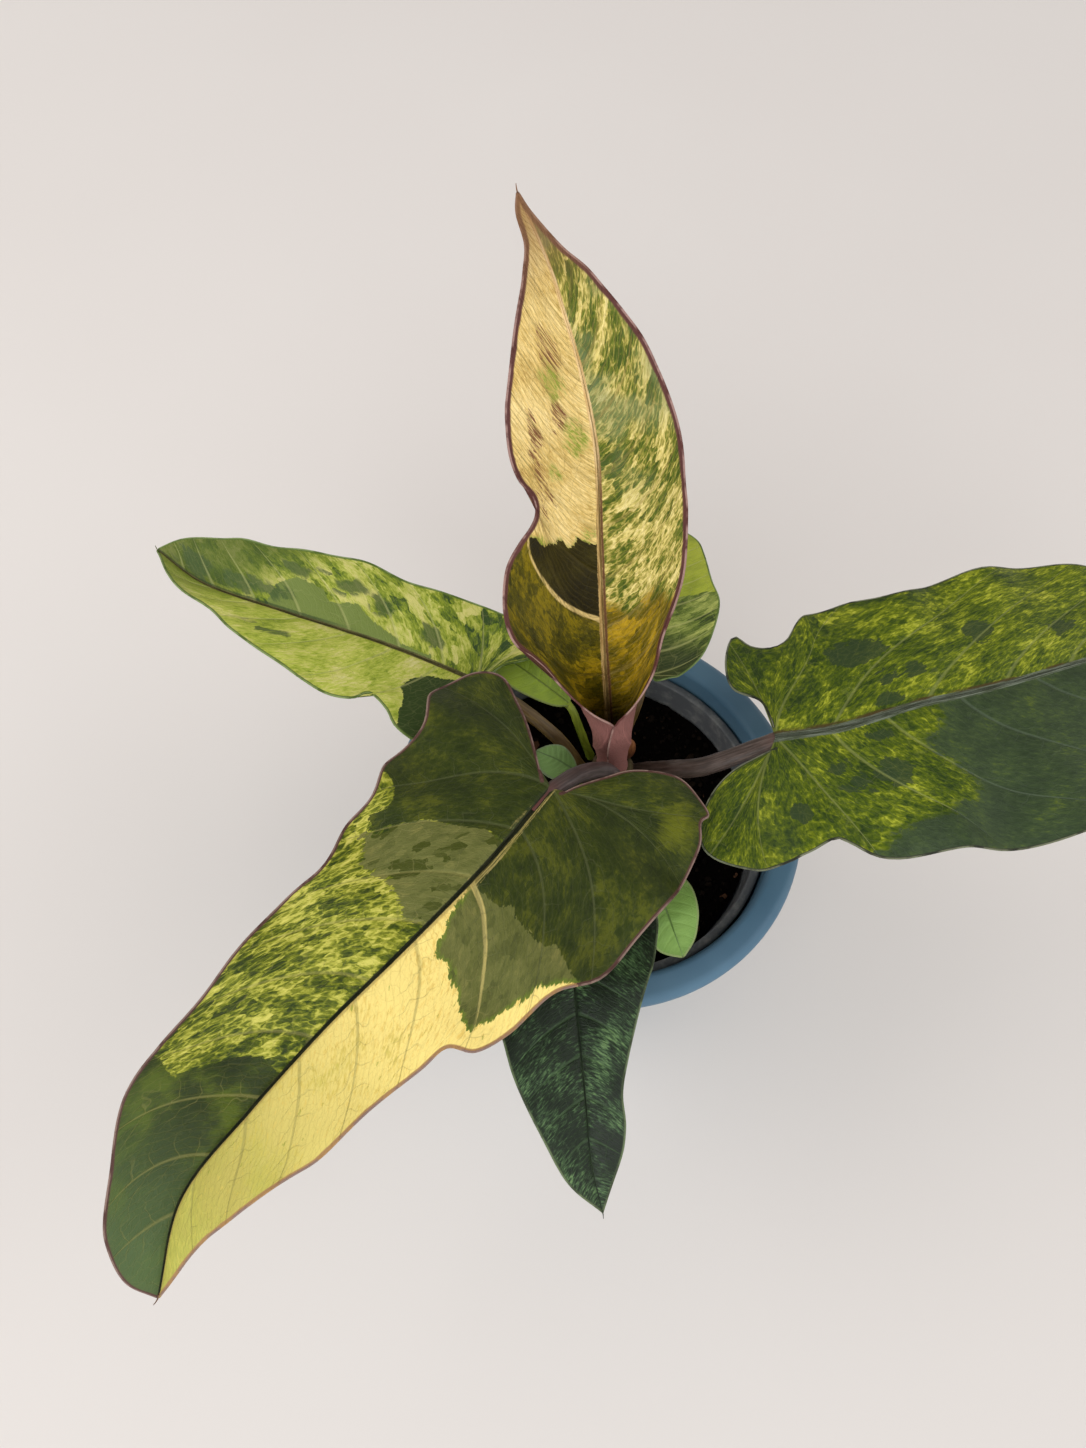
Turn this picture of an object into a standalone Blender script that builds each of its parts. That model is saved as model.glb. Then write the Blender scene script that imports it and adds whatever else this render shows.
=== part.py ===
"""A young variegated aroid with arrow-shaped leaves, in a nursery pot that stands in a blue outer pot.

All sizes are in millimetres until solid() turns them into metres. The origin is the middle of the
outer pot's underside, +Z is up, and -Y is the side from which the plant is seen. A leaf is described
flat, with x along its midrib from the stalk to the tip and y across it, and is then bent along a
spine in space. Its right edge is the one on the right when looking from the stalk to the tip with
the upper face towards the viewer.
"""

import math

import bpy
import numpy as np
from mathutils import Vector, noise

MM = 0.001
GAP = 0.3

# Outer pot
POT_HEIGHT = 120.0
POT_TOP_RADIUS = 70.0
POT_BASE_RADIUS = 50.0
POT_RIM_WIDTH = 10.0
POT_RIM_DEPTH = 19.0
POT_WALL = 6.0
POT_FLOOR = 6.0
POT_ROUNDINGS = (2.0, 3.5, 2.5)
POT_SEGMENTS = 64

# Nursery pot, standing on the outer pot's floor
NURSERY_TOP = 111.6
NURSERY_LIP_RADIUS = 59.2
NURSERY_LIP_DEPTH = 8.0
NURSERY_LIP_WALL = 3.2
NURSERY_LIP_ROUNDINGS = (1.2, 0.8)
NURSERY_BODY_RADIUS = 57.0
NURSERY_BASE_RADIUS = 42.5
NURSERY_WALL = 1.5
DRAIN_HOLES = 5
DRAIN_RADIUS = 4.0
DRAIN_RING = 26.0
DRAIN_TURN = 14.0
CUTTER_REACH = 2.0

# Soil, a little rounded off at the pot's wall
SOIL_LEVEL = 101.0
SOIL_SHOULDER = 3.0
SOIL_RELIEF = 2.2
SOIL_LUMPS = (13.0, 5.0)
SOIL_SEGMENTS = 48
SOIL_RINGS = 8
STALK_HOLE_ROOM = 1.0
HOLE_SEGMENTS = 12

# Stem, short and upright in its hole in the soil
STEM_CENTRE = (5.0, 14.0)
STEM_RADIUS = 8.0
STEM_TOP = 117.0
STEM_FOOT = 70.0
STEM_SCARS = (103.0, 109.0)
STEM_SCAR_HEIGHT = 1.6
STEM_SCAR_DEPTH = 0.5
STEM_SEGMENTS = 28

# Leaf blades
BLADE = 0.8
KEEL_HALF_WIDTH = 2.0
VEIN_LEAN = 0.7
VEIN_EVENNESS = 0.4
VEIN_BEND = (0.3, 0.55)
WAVE_REACH = 30.0
WAVE_TURN = 0.9
KEEL_FADE = 0.8
SPINE_STEPS = 24
EDGE_STEPS = 12
ACROSS = (0.0, 0.07, 0.24, 0.42, 0.62, 0.82, 1.0)

BLUE = (0.10, 0.22, 0.33)
CHARCOAL = (0.05, 0.05, 0.055)
SOIL = (0.02, 0.013, 0.01)
BARK = (0.16, 0.12, 0.06)
DARK_GREEN = (0.03, 0.09, 0.02)
MARBLED_GREEN = (0.12, 0.22, 0.03)
CREAM_GREEN = (0.42, 0.38, 0.12)
FRESH_GREEN = (0.20, 0.42, 0.06)
MINT = (0.25, 0.45, 0.25)
MAUVE = (0.22, 0.13, 0.14)
BROWN = (0.17, 0.10, 0.05)
ORANGE = (0.50, 0.20, 0.06)

# Each leaf: the spine runs from the stalk's end to the tip. Fold is the angle of each half at the
# midrib, and the cups are its curl across, in degrees per millimetre, all at even steps along it.
LEAVES = {
    "front": dict(
        spine=[(-20, -17, 170), (-39, -43, 175), (-61, -67, 173), (-79, -84, 166), (-99, -105, 156),
               (-117, -126, 144), (-124, -150, 126)],
        fold=(6, 8, 14, 22, 24), cup_right=(-0.3, -0.3, -0.35, -0.4, -0.3),
        cup_left=(-0.3, -0.3, -0.35, -0.4, -0.3),
        right_edge=[(0, 3.4), (-12, 17), (-18, 26), (-22, 35), (-17, 44), (-4, 48), (8, 41.5), (25, 42),
                    (39, 37), (51, 36.5), (64, 31.5), (80, 32.5), (105, 30), (125, 29), (140, 27.5),
                    (153, 19), (166, 15.5), (178, 9), (183, 0)],
        left_edge=[(0, 3.4), (-5.5, 5.8), (-13, 10.5), (-20, 15.5), (-26, 24), (-27.5, 30), (-25, 37),
                   (-22, 41.5), (-18, 41), (-11, 45), (5, 47), (23, 45), (36, 44), (46, 37.5),
                   (60, 36), (68, 33.5), (72, 27.5), (80, 27), (97, 25), (115, 24), (127, 20.5),
                   (148, 15.5), (169, 6.5), (183, 0)],
        keel=2.6, waves=(1.0, 31.0), spokes=(8, 24), stalk_radius=2.7, colour=DARK_GREEN),
    "right": dict(
        spine=[(51, 6, 160), (70, 7, 166), (93, 13, 171), (118, 19, 173), (150, 30, 172),
               (182, 43, 166), (216, 60, 157)],
        fold=(2, 3, 4, 6, 8), cup_right=(-0.3, -0.35, -0.35, -0.3, -0.3),
        cup_left=(-0.3, -0.35, -0.35, -0.3, -0.3),
        right_edge=[(0, 3.6), (-5, 5.2), (-14.5, 9.2), (-21.5, 15.5), (-25.5, 23), (-26.8, 31),
                    (-23.5, 36), (-15, 39.5), (-7.5, 41), (5.5, 38.5), (12.5, 34.5), (15.5, 36),
                    (21.5, 42), (33, 45), (56.5, 49), (77, 50.5), (100, 47), (125, 37), (150, 23),
                    (168, 10), (178, 0)],
        left_edge=[(0, 3.6), (-0.5, 7), (-3, 14), (-11, 20), (-12, 30.5), (-8.5, 41), (-3.5, 36),
                   (2, 33.5), (7, 35), (15, 41.5), (37, 43), (49.5, 40), (74, 42.5), (104, 39.5),
                   (129.5, 31), (150, 20), (167, 9), (178, 0)],
        keel=2.6, waves=(1.2, 37.0), spokes=(9, 22), stalk_radius=2.9, colour=MARBLED_GREEN),
    "left": dict(
        spine=[(-43, 33, 142), (-59, 38, 146), (-78, 45, 147), (-108, 56, 145), (-139, 71, 138),
               (-160, 90, 130)],
        fold=(12, 18, 26, 32, 34), cup_right=(-0.3, -0.4, -0.5, -0.7, -0.7),
        cup_left=(-0.3, -0.4, -0.5, -0.7, -0.7),
        right_edge=[(0, 2.9), (-3, 4.2), (-6.5, 9), (-13, 14), (-18, 18.5), (-17.5, 24), (-9.5, 27),
                    (0.5, 25.5), (14, 25), (32, 23), (52.5, 24.5), (81, 20.5), (101, 18.5), (123, 10.5),
                    (135, 0)],
        left_edge=[(0, 2.9), (-4, 6), (-12, 14), (-16, 24), (-10, 31), (0, 33), (11, 31.5), (18, 28.5),
                   (22.5, 24), (29, 21.5), (33, 26), (40.5, 27.5), (51, 26), (62, 22.5), (79, 17.5),
                   (92, 11.5), (106, 9), (119, 5.5), (135, 0)],
        keel=2.2, waves=(0.8, 23.0), spokes=(7, 20), stalk_radius=2.2, colour=MARBLED_GREEN),
    "top": dict(
        spine=[(2, 13, 132), (-1, 15, 157), (-5, 24, 184), (-9, 39, 214), (-12, 50, 237),
               (-17, 60, 254), (-23, 72, 266), (-27, 81, 272), (-35, 97, 279)],
        face=(0, -0.8, 0.6),
        fold=(0, 0, 4, 8, 10, 12, 10), cup_right=(13, 8.4, 2.9, 0.6, 0.3, 0.1, -0.1),
        cup_left=(13, 8.4, 2.2, 0.5, 0.3, 0.1, -0.1),
        right_edge=[(0, 12), (10, 13.8), (20, 16.4), (30, 20.2), (37, 23.6), (42.5, 22), (51.5, 20.5),
                    (60.5, 19.5), (72, 22.5), (82, 24), (98, 24), (107, 23), (120, 22), (137, 18),
                    (146, 14.5), (157, 9.5), (165, 4.7), (176, 1.2), (183, 0)],
        left_edge=[(0, 12), (10, 13.8), (20, 16.4), (30, 20.2), (37, 23.6), (44, 22.5), (55, 23.5),
                   (61, 26.5), (66, 30.5), (71.5, 31.3), (79.5, 29.7), (87, 27.2), (92, 23.2),
                   (96, 19.4), (100, 17.6), (105, 18.2), (111.5, 21.6), (120, 23), (128.5, 22.2),
                   (136, 20), (148.5, 14.3), (157, 9.7), (164, 6.3), (170, 3.5), (178, 2.3), (183, 0)],
        keel=1.8, waves=(0.5, 27.0), spokes=(4, 26), stalk_radius=3.4, colour=CREAM_GREEN),
    "back": dict(
        spine=[(14, 37, 142), (17, 50, 150), (21, 69, 152), (26, 96, 147)],
        fold=(8, 8, 8), cup_right=(-0.3,), cup_left=(-0.3,),
        right_edge=[(0, 2.2), (-1, 4), (1, 8), (3, 11.5), (10.5, 16.7), (20, 18.8), (30, 19),
                    (37.5, 15.5), (49, 12), (57, 8.5), (63, 0)],
        left_edge=[(0, 2.2), (-4, 6), (-7, 11), (-2, 16), (8, 18.5), (20, 18.5), (34, 16), (48, 10),
                   (63, 0)],
        keel=1.2, waves=(0.5, 17.0), spokes=(4, 11), stalk_radius=1.5, colour=MARBLED_GREEN),
    "low": dict(
        spine=[(-12, -44, 144), (-12, -59, 148), (-12, -72, 149), (-9, -100, 143), (-7, -116, 136),
               (-3, -129, 127)],
        fold=(8, 12, 16, 18), cup_right=(-0.3, -0.4, -0.5, -0.5), cup_left=(-0.3, -0.4, -0.5, -0.5),
        right_edge=[(0, 2.5), (-7, 7), (-12, 13), (-9, 20), (2, 24), (16, 25.5), (28, 24.5), (39, 22),
                    (49, 20), (59, 16.5), (69, 12), (79, 7.5), (91, 0)],
        left_edge=[(0, 2.5), (-6, 7), (-11, 12), (-9, 19), (0, 24), (8.5, 25), (23, 22), (37, 17),
                   (48, 13), (57, 10.5), (66, 10.5), (76, 8), (91, 0)],
        keel=1.6, waves=(0.5, 21.0), spokes=(5, 13), stalk_radius=1.8, colour=DARK_GREEN),
    "bright": dict(
        spine=[(16, -26, 122), (20, -41, 126), (25, -54, 122)],
        fold=(8, 8), cup_right=(-0.6,), cup_left=(-0.6,),
        right_edge=[(0, 0.9), (2.5, 6), (9, 9.5), (19, 9), (25, 7.5), (28, 5), (31, 0)],
        left_edge=[(0, 0.9), (3, 8), (9.5, 10.5), (17, 10), (22, 8.3), (27, 5.2), (31, 0)],
        keel=0.6, waves=(0.2, 11.0), spokes=(3, 7), stalk_radius=0.9, colour=FRESH_GREEN),
    "light": dict(
        spine=[(-11, 33, 128), (-20, 37.5, 133), (-30, 44, 135), (-40, 52.5, 132)],
        fold=(6, 6), cup_right=(-0.5,), cup_left=(-0.5,),
        right_edge=[(0, 1.5), (6, 6), (15, 9), (25, 8.5), (33, 5), (37.5, 0)],
        left_edge=[(0, 1.5), (5, 4.8), (13, 7.2), (21, 8), (32, 5), (37.5, 0)],
        keel=1.0, waves=(0.2, 13.0), spokes=(3, 8), stalk_radius=1.4, colour=FRESH_GREEN),
    "mint": dict(
        spine=[(-9, 5.8, 131), (-15.5, 8.5, 134), (-22.5, 12, 133)],
        fold=(4, 4), cup_right=(-0.8,), cup_left=(-0.8,),
        right_edge=[(0, 1.0), (2.5, 3.2), (6, 4.8), (9.5, 5), (13, 3.4), (16, 0)],
        left_edge=[(0, 1.0), (3, 5), (7, 7), (11, 6), (14, 3.2), (16, 0)],
        keel=0.6, waves=(0.1, 9.0), spokes=(2, 6), stalk_radius=1.0, colour=MINT),
}

# Each stalk: its route from the stem, its radius at the foot, and what its foot stands on
STALKS = {
    "front": dict(route=[(4, 8.5, 117), (4, 4.2, 127), (3, -0.8, 137), (1, -2.4, 147.5),
                         (-4, -5.5, 157.5), (-12, -10.7, 165)], radius=4.1, seat="stem_top", colour=MAUVE),
    "top": dict(route=[(4.5, 17, 117), (3.5, 15, 125)], radius=3.6, seat="stem_top", colour=MAUVE),
    "right": dict(route=[(9.5, 14.5, 107), (15, 13, 115), (18.5, 8.5, 127), (23, 3.8, 139),
                         (30, 1.2, 147), (38.5, 2.3, 152.5)], radius=3.9, seat="stem_side", colour=BROWN),
    "left": dict(route=[(0, 14.5, 107), (-6, 15, 113), (-11, 17, 123), (-18, 20, 132),
                        (-31, 27, 139)], radius=2.8, seat="stem_side", colour=BROWN),
    "back": dict(route=[(6.5, 19, 107), (8.5, 25, 112), (10, 26.5, 122), (12, 30, 135)],
                 radius=1.8, seat="stem_side", colour=BROWN),
    "low": dict(route=[(4.3, 9, 104), (3.5, 2, 108), (0, -8, 117), (-4, -22, 130), (-9, -36, 140)],
                radius=2.4, seat="stem_side", colour=MAUVE),
    "bright": dict(route=[(13, 2, 92), (13, 1.8, 103), (13.2, -5, 112), (14.3, -16, 118.5)],
                   radius=1.2, seat="soil", colour=FRESH_GREEN),
    "light": dict(route=[(-1, 25.5, 92), (-1.2, 25, 101), (-3.4, 25.5, 109), (-6.3, 27.5, 118),
                         (-9.5, 31, 125.5)], radius=1.9, seat="soil", colour=FRESH_GREEN),
    "mint": dict(route=[(-5, 6, 92), (-5.1, 5.9, 103), (-6.5, 3.8, 112), (-7.3, 3.3, 120),
                        (-7.8, 4, 127)],
                 radius=1.2, seat="soil", colour=MINT),
}
STALK_SIDES = 10
STALK_STEPS = 4
STALK_GROOVE = 0.16
STALK_DROP = 0.9
SHEATH_SHARE = 0.35
SHEATH_SWELL = 1.08
STALK_END_GAP = 0.45

# A small shoot bud on the crown
BUD_FOOT = (10.2, 18.6)
BUD_HEIGHT = 12.0
BUD_RADIUS = 1.9
BUD_SEGMENTS = 12


def clear_scene():
    for thing in list(bpy.data.objects):
        bpy.data.objects.remove(thing)


def material(name, colour, roughness):
    made = bpy.data.materials.get(name) or bpy.data.materials.new(name)
    made.use_nodes = True
    shader = made.node_tree.nodes["Principled BSDF"]
    shader.inputs["Base Color"].default_value = (*colour, 1.0)
    shader.inputs["Roughness"].default_value = roughness
    shader.inputs["Metallic"].default_value = 0.0
    return made


def solid(name, points, faces, finish, crease=40.0):
    """One closed object from points in millimetres and faces as tuples of indices."""
    mesh = bpy.data.meshes.new(name)
    mesh.from_pydata([tuple(float(c) * MM for c in p) for p in points], [], faces)
    mesh.validate()
    mesh.shade_smooth()
    mesh.set_sharp_from_angle(angle=math.radians(crease))
    mesh.materials.append(finish)
    made = bpy.data.objects.new(name, mesh)
    bpy.context.collection.objects.link(made)
    return made


def smooth_curve(points, per_span):
    """A Catmull-Rom curve through the points, with per_span samples in each span."""
    p = np.asarray(points, float)
    p = np.vstack([2 * p[0] - p[1], p, 2 * p[-1] - p[-2]])
    t = (np.arange(per_span) / per_span)[:, None]
    spans = []
    for a, b, c, d in zip(p, p[1:], p[2:], p[3:]):
        spans.append(0.5 * (2 * b + (c - a) * t + (2 * a - 5 * b + 4 * c - d) * t ** 2
                            + (3 * b - a - 3 * c + d) * t ** 3))
    return np.vstack(spans + [p[-2:-1]])


def run_of(line):
    """The length along a line up to each of its points."""
    return np.concatenate([[0], np.cumsum(np.linalg.norm(np.diff(line, axis=0), axis=1))])


def along(values, share):
    """The smooth curve through values at even steps, read at share from 0 to 1."""
    if len(values) == 1:
        return np.full(np.shape(share), float(values[0]))
    curve = smooth_curve(list(enumerate(values)), 16)
    return np.interp(np.clip(share, 0, 1) * (len(values) - 1), curve[:, 0], curve[:, 1])


def turned(name, profile, segments, finish, ripple=None):
    """A solid turned round Z from a profile of (radius, height) that starts and ends on the axis."""
    points = [(0.0, 0.0, profile[0][1]), (0.0, 0.0, profile[-1][1])]
    rings = profile[1:-1]
    for radius, height in rings:
        for k in range(segments):
            turn = 2 * math.pi * k / segments
            x, y = radius * math.cos(turn), radius * math.sin(turn)
            points.append((x, y, height + (ripple(x, y, height) if ripple else 0.0)))
    faces = []
    for k in range(segments):
        after = (k + 1) % segments
        faces.append((0, 2 + after, 2 + k))
        last = 2 + (len(rings) - 1) * segments
        faces.append((1, last + k, last + after))
        for row in range(len(rings) - 1):
            low, high = 2 + row * segments, 2 + (row + 1) * segments
            faces.append((low + k, low + after, high + after, high + k))
    return solid(name, points, faces, finish)


def corner(radius, height, size, start, end, steps=3):
    """A rounded corner of a profile: an arc about (radius, height) between two angles in degrees."""
    turns = [math.radians(start + (end - start) * k / steps) for k in range(steps + 1)]
    return [(radius + size * math.cos(t), height + size * math.sin(t)) for t in turns]


def make_pot():
    """The outer pot, a tapered tub with a broad soft rim and no hole in its floor."""
    foot, lip_out, lip_in = POT_ROUNDINGS
    rim_inner = POT_TOP_RADIUS - POT_RIM_WIDTH
    inner_base = POT_BASE_RADIUS - POT_WALL
    profile = [(0, 0)]
    profile += corner(POT_BASE_RADIUS - foot, foot, foot, -90, -10)
    profile += corner(POT_TOP_RADIUS - lip_out, POT_HEIGHT - lip_out, lip_out, -10, 90)
    profile += corner(rim_inner + lip_in, POT_HEIGHT - lip_in, lip_in, 90, 180)
    profile += [(rim_inner, POT_HEIGHT - POT_RIM_DEPTH), (inner_base, POT_FLOOR), (0, POT_FLOOR)]
    return turned("pot", profile, POT_SEGMENTS, material("pot_blue", BLUE, 0.5))


def cut_with(target, cutters):
    """Cuts the cutters out of the target and removes them."""
    for cutter in cutters:
        cutter.hide_render = True
        cutter.display_type = "WIRE"
        step = target.modifiers.new(cutter.name, "BOOLEAN")
        step.operation = "DIFFERENCE"
        step.solver = "EXACT"
        step.object = cutter
    bpy.context.view_layer.update()
    graph = bpy.context.evaluated_depsgraph_get()
    mesh = bpy.data.meshes.new_from_object(target.evaluated_get(graph))
    target.modifiers.clear()
    target.data = mesh
    for cutter in cutters:
        bpy.data.objects.remove(cutter)


def rod(name, x, y, radius, low, high, sides=24):
    """An upright cylinder, used as a cutter."""
    profile = [(0, low), (radius, low), (radius, high), (0, high)]
    made = turned(name, profile, sides, material("cutter", BARK, 0.5))
    made.location = (x * MM, y * MM, 0)
    return made


def make_nursery_pot():
    """The thin grower's pot: a tapered cup with a thick rolled lip and drain holes in its floor."""
    base = POT_FLOOR + GAP
    floor = base + NURSERY_WALL
    step = NURSERY_TOP - NURSERY_LIP_DEPTH
    outer, inner = NURSERY_LIP_ROUNDINGS
    lip_inner = NURSERY_LIP_RADIUS - NURSERY_LIP_WALL
    profile = [(0, base), (NURSERY_BASE_RADIUS, base), (NURSERY_BODY_RADIUS, step),
               (NURSERY_LIP_RADIUS, step + outer)]
    profile += corner(NURSERY_LIP_RADIUS - outer, NURSERY_TOP - outer, outer, 0, 90)
    profile += corner(lip_inner + inner, NURSERY_TOP - inner, inner, 90, 180, 2)
    profile += [(NURSERY_BODY_RADIUS - NURSERY_WALL, step - NURSERY_WALL),
                (NURSERY_BASE_RADIUS - NURSERY_WALL, floor), (0, floor)]
    made = turned("nursery_pot", profile, POT_SEGMENTS, material("nursery_charcoal", CHARCOAL, 0.6))
    holes = []
    for k in range(DRAIN_HOLES):
        turn = math.radians(DRAIN_TURN) + 2 * math.pi * k / DRAIN_HOLES
        x, y = DRAIN_RING * math.cos(turn), DRAIN_RING * math.sin(turn)
        low, high = base - CUTTER_REACH, floor + CUTTER_REACH
        holes.append(rod("drain_%d" % k, x, y, DRAIN_RADIUS, low, high, HOLE_SEGMENTS))
    cut_with(made, holes)
    return made


def make_soil():
    """The potting mix, with a crumbly top and plain holes for the stem and the small stalks."""
    base = POT_FLOOR + GAP + NURSERY_WALL + GAP
    slope = (NURSERY_BODY_RADIUS - NURSERY_BASE_RADIUS) / (NURSERY_TOP - NURSERY_LIP_DEPTH - POT_FLOOR)

    def inner(height):
        return NURSERY_BASE_RADIUS + slope * (height - POT_FLOOR) - NURSERY_WALL - 2 * GAP

    def crumbs(x, y, height):
        if height < SOIL_LEVEL:
            return 0.0
        coarse, fine = (noise.noise(Vector((x / size, y / size, size))) for size in SOIL_LUMPS)
        return SOIL_RELIEF * (0.7 * coarse + 0.4 * fine)

    shoulder = SOIL_LEVEL - SOIL_SHOULDER
    edge, top = inner(shoulder), SOIL_LEVEL + 3 * SOIL_RELIEF
    profile = [(0, base), (inner(base), base), (edge, shoulder)]
    profile += [(edge * k / SOIL_RINGS, SOIL_LEVEL) for k in range(SOIL_RINGS, 0, -1)]
    profile += [(0, SOIL_LEVEL)]
    made = turned("soil", profile, SOIL_SEGMENTS, material("soil_mix", SOIL, 0.95), crumbs)
    holes = [rod("stem_hole", *STEM_CENTRE, STEM_RADIUS + GAP, STEM_FOOT - GAP, top)]
    for name, stalk in STALKS.items():
        if stalk["seat"] == "soil":
            x, y, low = stalk["route"][0]
            radius = stalk["radius"] + STALK_HOLE_ROOM
            holes.append(rod(name + "_hole", x, y, radius, low - GAP, top, HOLE_SEGMENTS))
    cut_with(made, holes)
    return made


def make_stem():
    """The short woody stem, with a scar ring above each old leaf and a flat top for the new stalks."""
    foot, waist = 4 * STEM_SCAR_DEPTH, STEM_RADIUS - STEM_SCAR_DEPTH
    profile = [(0, STEM_FOOT), (STEM_RADIUS - foot, STEM_FOOT), (waist, STEM_FOOT + foot)]
    for scar in STEM_SCARS:
        profile += [(waist, scar), (STEM_RADIUS, scar + STEM_SCAR_HEIGHT / 2),
                    (waist, scar + STEM_SCAR_HEIGHT)]
    profile += [(STEM_RADIUS, STEM_TOP - STEM_SCAR_DEPTH), (waist, STEM_TOP), (0, STEM_TOP)]
    made = turned("stem", profile, STEM_SEGMENTS, material("stem_bark", BARK, 0.7))
    made.location = (STEM_CENTRE[0] * MM, STEM_CENTRE[1] * MM, 0)
    return made


class Leaf:
    """A leaf's bent surface and its thickness."""

    def __init__(self, spine, fold, cup_right, cup_left, keel, waves, face=(0, 0, 1), **rest):
        self.curve = smooth_curve(spine, SPINE_STEPS)
        self.run = run_of(self.curve)
        self.length = self.run[-1]
        heading = np.gradient(self.curve, self.run, axis=0)
        self.heading = heading / np.linalg.norm(heading, axis=1)[:, None]
        self.fold, self.cups, self.keel, self.waves = fold, (cup_right, cup_left), keel, waves
        self.face = np.asarray(face, float)

    def frame(self, x):
        """The spine's point at x, its direction, the direction to the right, and the upper normal."""
        held = np.clip(x, 0, self.length)
        point = np.stack([np.interp(held, self.run, c) for c in self.curve.T], -1)
        ahead = np.stack([np.interp(held, self.run, c) for c in self.heading.T], -1)
        ahead /= np.linalg.norm(ahead, axis=-1, keepdims=True)
        aside = np.cross(ahead, self.face)
        aside /= np.linalg.norm(aside, axis=-1, keepdims=True)
        point = point + ahead * np.minimum(x, 0)[..., None]
        return point, ahead, aside, np.cross(aside, ahead)

    def surface(self, x, y):
        """Points on the upper face at the flat leaf's x and y, and the normals there."""
        point, _, aside, up = self.frame(x)
        share, side, out = x / self.length, np.where(y < 0, -1.0, 1.0), np.abs(y)
        lift = np.radians(along(self.fold, share))
        curl = np.where(y < 0, along(self.cups[1], share), along(self.cups[0], share))
        curl = np.radians(np.where(np.abs(curl) < 1e-4, 1e-4, curl))
        across = (np.sin(lift + curl * out) - np.sin(lift)) / curl
        rise = (np.cos(lift) - np.cos(lift + curl * out)) / curl
        size, period = self.waves
        rise = rise + size * (out / WAVE_REACH) ** 2 * np.sin(2 * np.pi * x / period + WAVE_TURN * side)
        turn = np.where(out > 0, lift + curl * out, 0.0)
        normal = up * np.cos(turn)[..., None] - aside * (side * np.sin(turn))[..., None]
        return point + aside * (side * across)[..., None] + up * rise[..., None], normal

    def thickness(self, x, y):
        """The blade's thickness with the midrib's keel, which fades towards the tip."""
        away = np.hypot(y, np.minimum(x, 0))
        fade = np.clip(1 - x / self.length, 0, 1) ** KEEL_FADE
        return BLADE + self.keel * fade * np.exp(-(away / KEEL_HALF_WIDTH) ** 2)


def side_vein(start, end, v):
    """A row's flat points, which leave the midrib at start and bend as a side vein to their end."""
    bend = np.array([start + VEIN_BEND[0] * (end[0] - start), VEIN_BEND[1] * end[1]])
    return (1 - v) ** 2 * np.array([start, 0.0]) + 2 * v * (1 - v) * bend + v ** 2 * end


def half_grid(edge, length, fan, ribs):
    """The flat points of one half's grid: one row for each spoke, one column for each step out.

    The first rows turn from the sinus, which the very first one follows, through the lobe to the
    first side vein. The others leave the midrib at even steps and lie as the side veins do.
    """
    curve = smooth_curve(edge, EDGE_STEPS)
    run = run_of(curve)
    v = np.array(ACROSS)[:, None]
    reach = np.maximum.accumulate(curve[:, 0] - VEIN_LEAN * curve[:, 1])
    far, turn = run[np.argmin(curve[:, 0])], run[np.flatnonzero(reach <= 0)[-1]]
    even = length * np.clip((run - turn) / (run[-1] - turn), 0, 1)
    reach = (1 - VEIN_EVENNESS) * np.clip(reach, 0, length) + VEIN_EVENNESS * even

    def on_edge(stop):
        return np.array([np.interp(stop, run, c) for c in curve.T])

    back = np.vstack([(0.0, 0.0), curve[run <= far]])
    back_run = run_of(back)
    sinus = np.stack([np.interp(v[:, 0] * back_run[-1], back_run, c) for c in back.T], 1)
    first = side_vein(0.0, on_edge(turn), v)
    rows = []
    for u in np.linspace(0, 1, fan, endpoint=False):
        bulge = on_edge(far + u * (turn - far)) - (1 - u) * sinus[-1] - u * first[-1]
        rows.append((1 - u) * sinus + u * first + bulge * v ** 2)
    starts = np.linspace(0, length, ribs + 1)
    stops = np.interp(starts, reach, run)
    stops[0], stops[-1] = turn, run[-1]
    for start, stop in zip(starts, stops):
        rows.append(side_vein(start, on_edge(stop), v))
    return np.array(rows)


def make_blade(name, spec):
    """A leaf blade: two faces split into triangles alike, joined round the edge."""
    leaf = Leaf(**spec)
    fan, ribs = spec["spokes"]
    xs, ys, faces, mid = [], [], [], {}

    def vertex(x, y):
        xs.append(x)
        ys.append(y)
        return len(xs) - 1

    for k in range(ribs + 1):
        mid[k] = vertex(leaf.length * k / ribs, 0.0)
    for side, edge in ((1, spec["right_edge"]), (-1, spec["left_edge"])):
        grid = half_grid(edge, leaf.length, fan, ribs)
        x, y = grid[..., 0], side * grid[..., 1]
        index = np.empty(x.shape, int)
        for row in range(fan + ribs + 1):
            tip = row == fan + ribs
            for column in range(len(ACROSS)):
                if tip or column == 0:
                    index[row, column] = mid[max(0, row - fan)]
                else:
                    index[row, column] = vertex(x[row, column], y[row, column])
        for row in range(fan + ribs):
            for column in range(len(ACROSS) - 1):
                a, b = index[row, column], index[row + 1, column]
                c, d = index[row + 1, column + 1], index[row, column + 1]
                for face in ((a, b, c), (a, c, d)):
                    if len(set(face)) == 3:
                        faces.append(face[::-side])
    xs, ys = np.array(xs), np.array(ys)
    upper, normal = leaf.surface(xs, ys)
    lower = upper - normal * leaf.thickness(xs, ys)[:, None]
    count = len(xs)
    inner = {(a, b) for f in faces for a, b in zip(f, f[1:] + f[:1])}
    walls = []
    for a, b in sorted(inner):
        if (b, a) not in inner:
            walls += [(b, a, a + count), (b, a + count, b + count)]
    under = [tuple(i + count for i in reversed(f)) for f in faces]
    finish = material("leaf_" + name, spec["colour"], 0.45)
    return solid("blade_" + name, np.vstack([upper, lower]), faces + walls + under, finish, 60.0)


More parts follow.
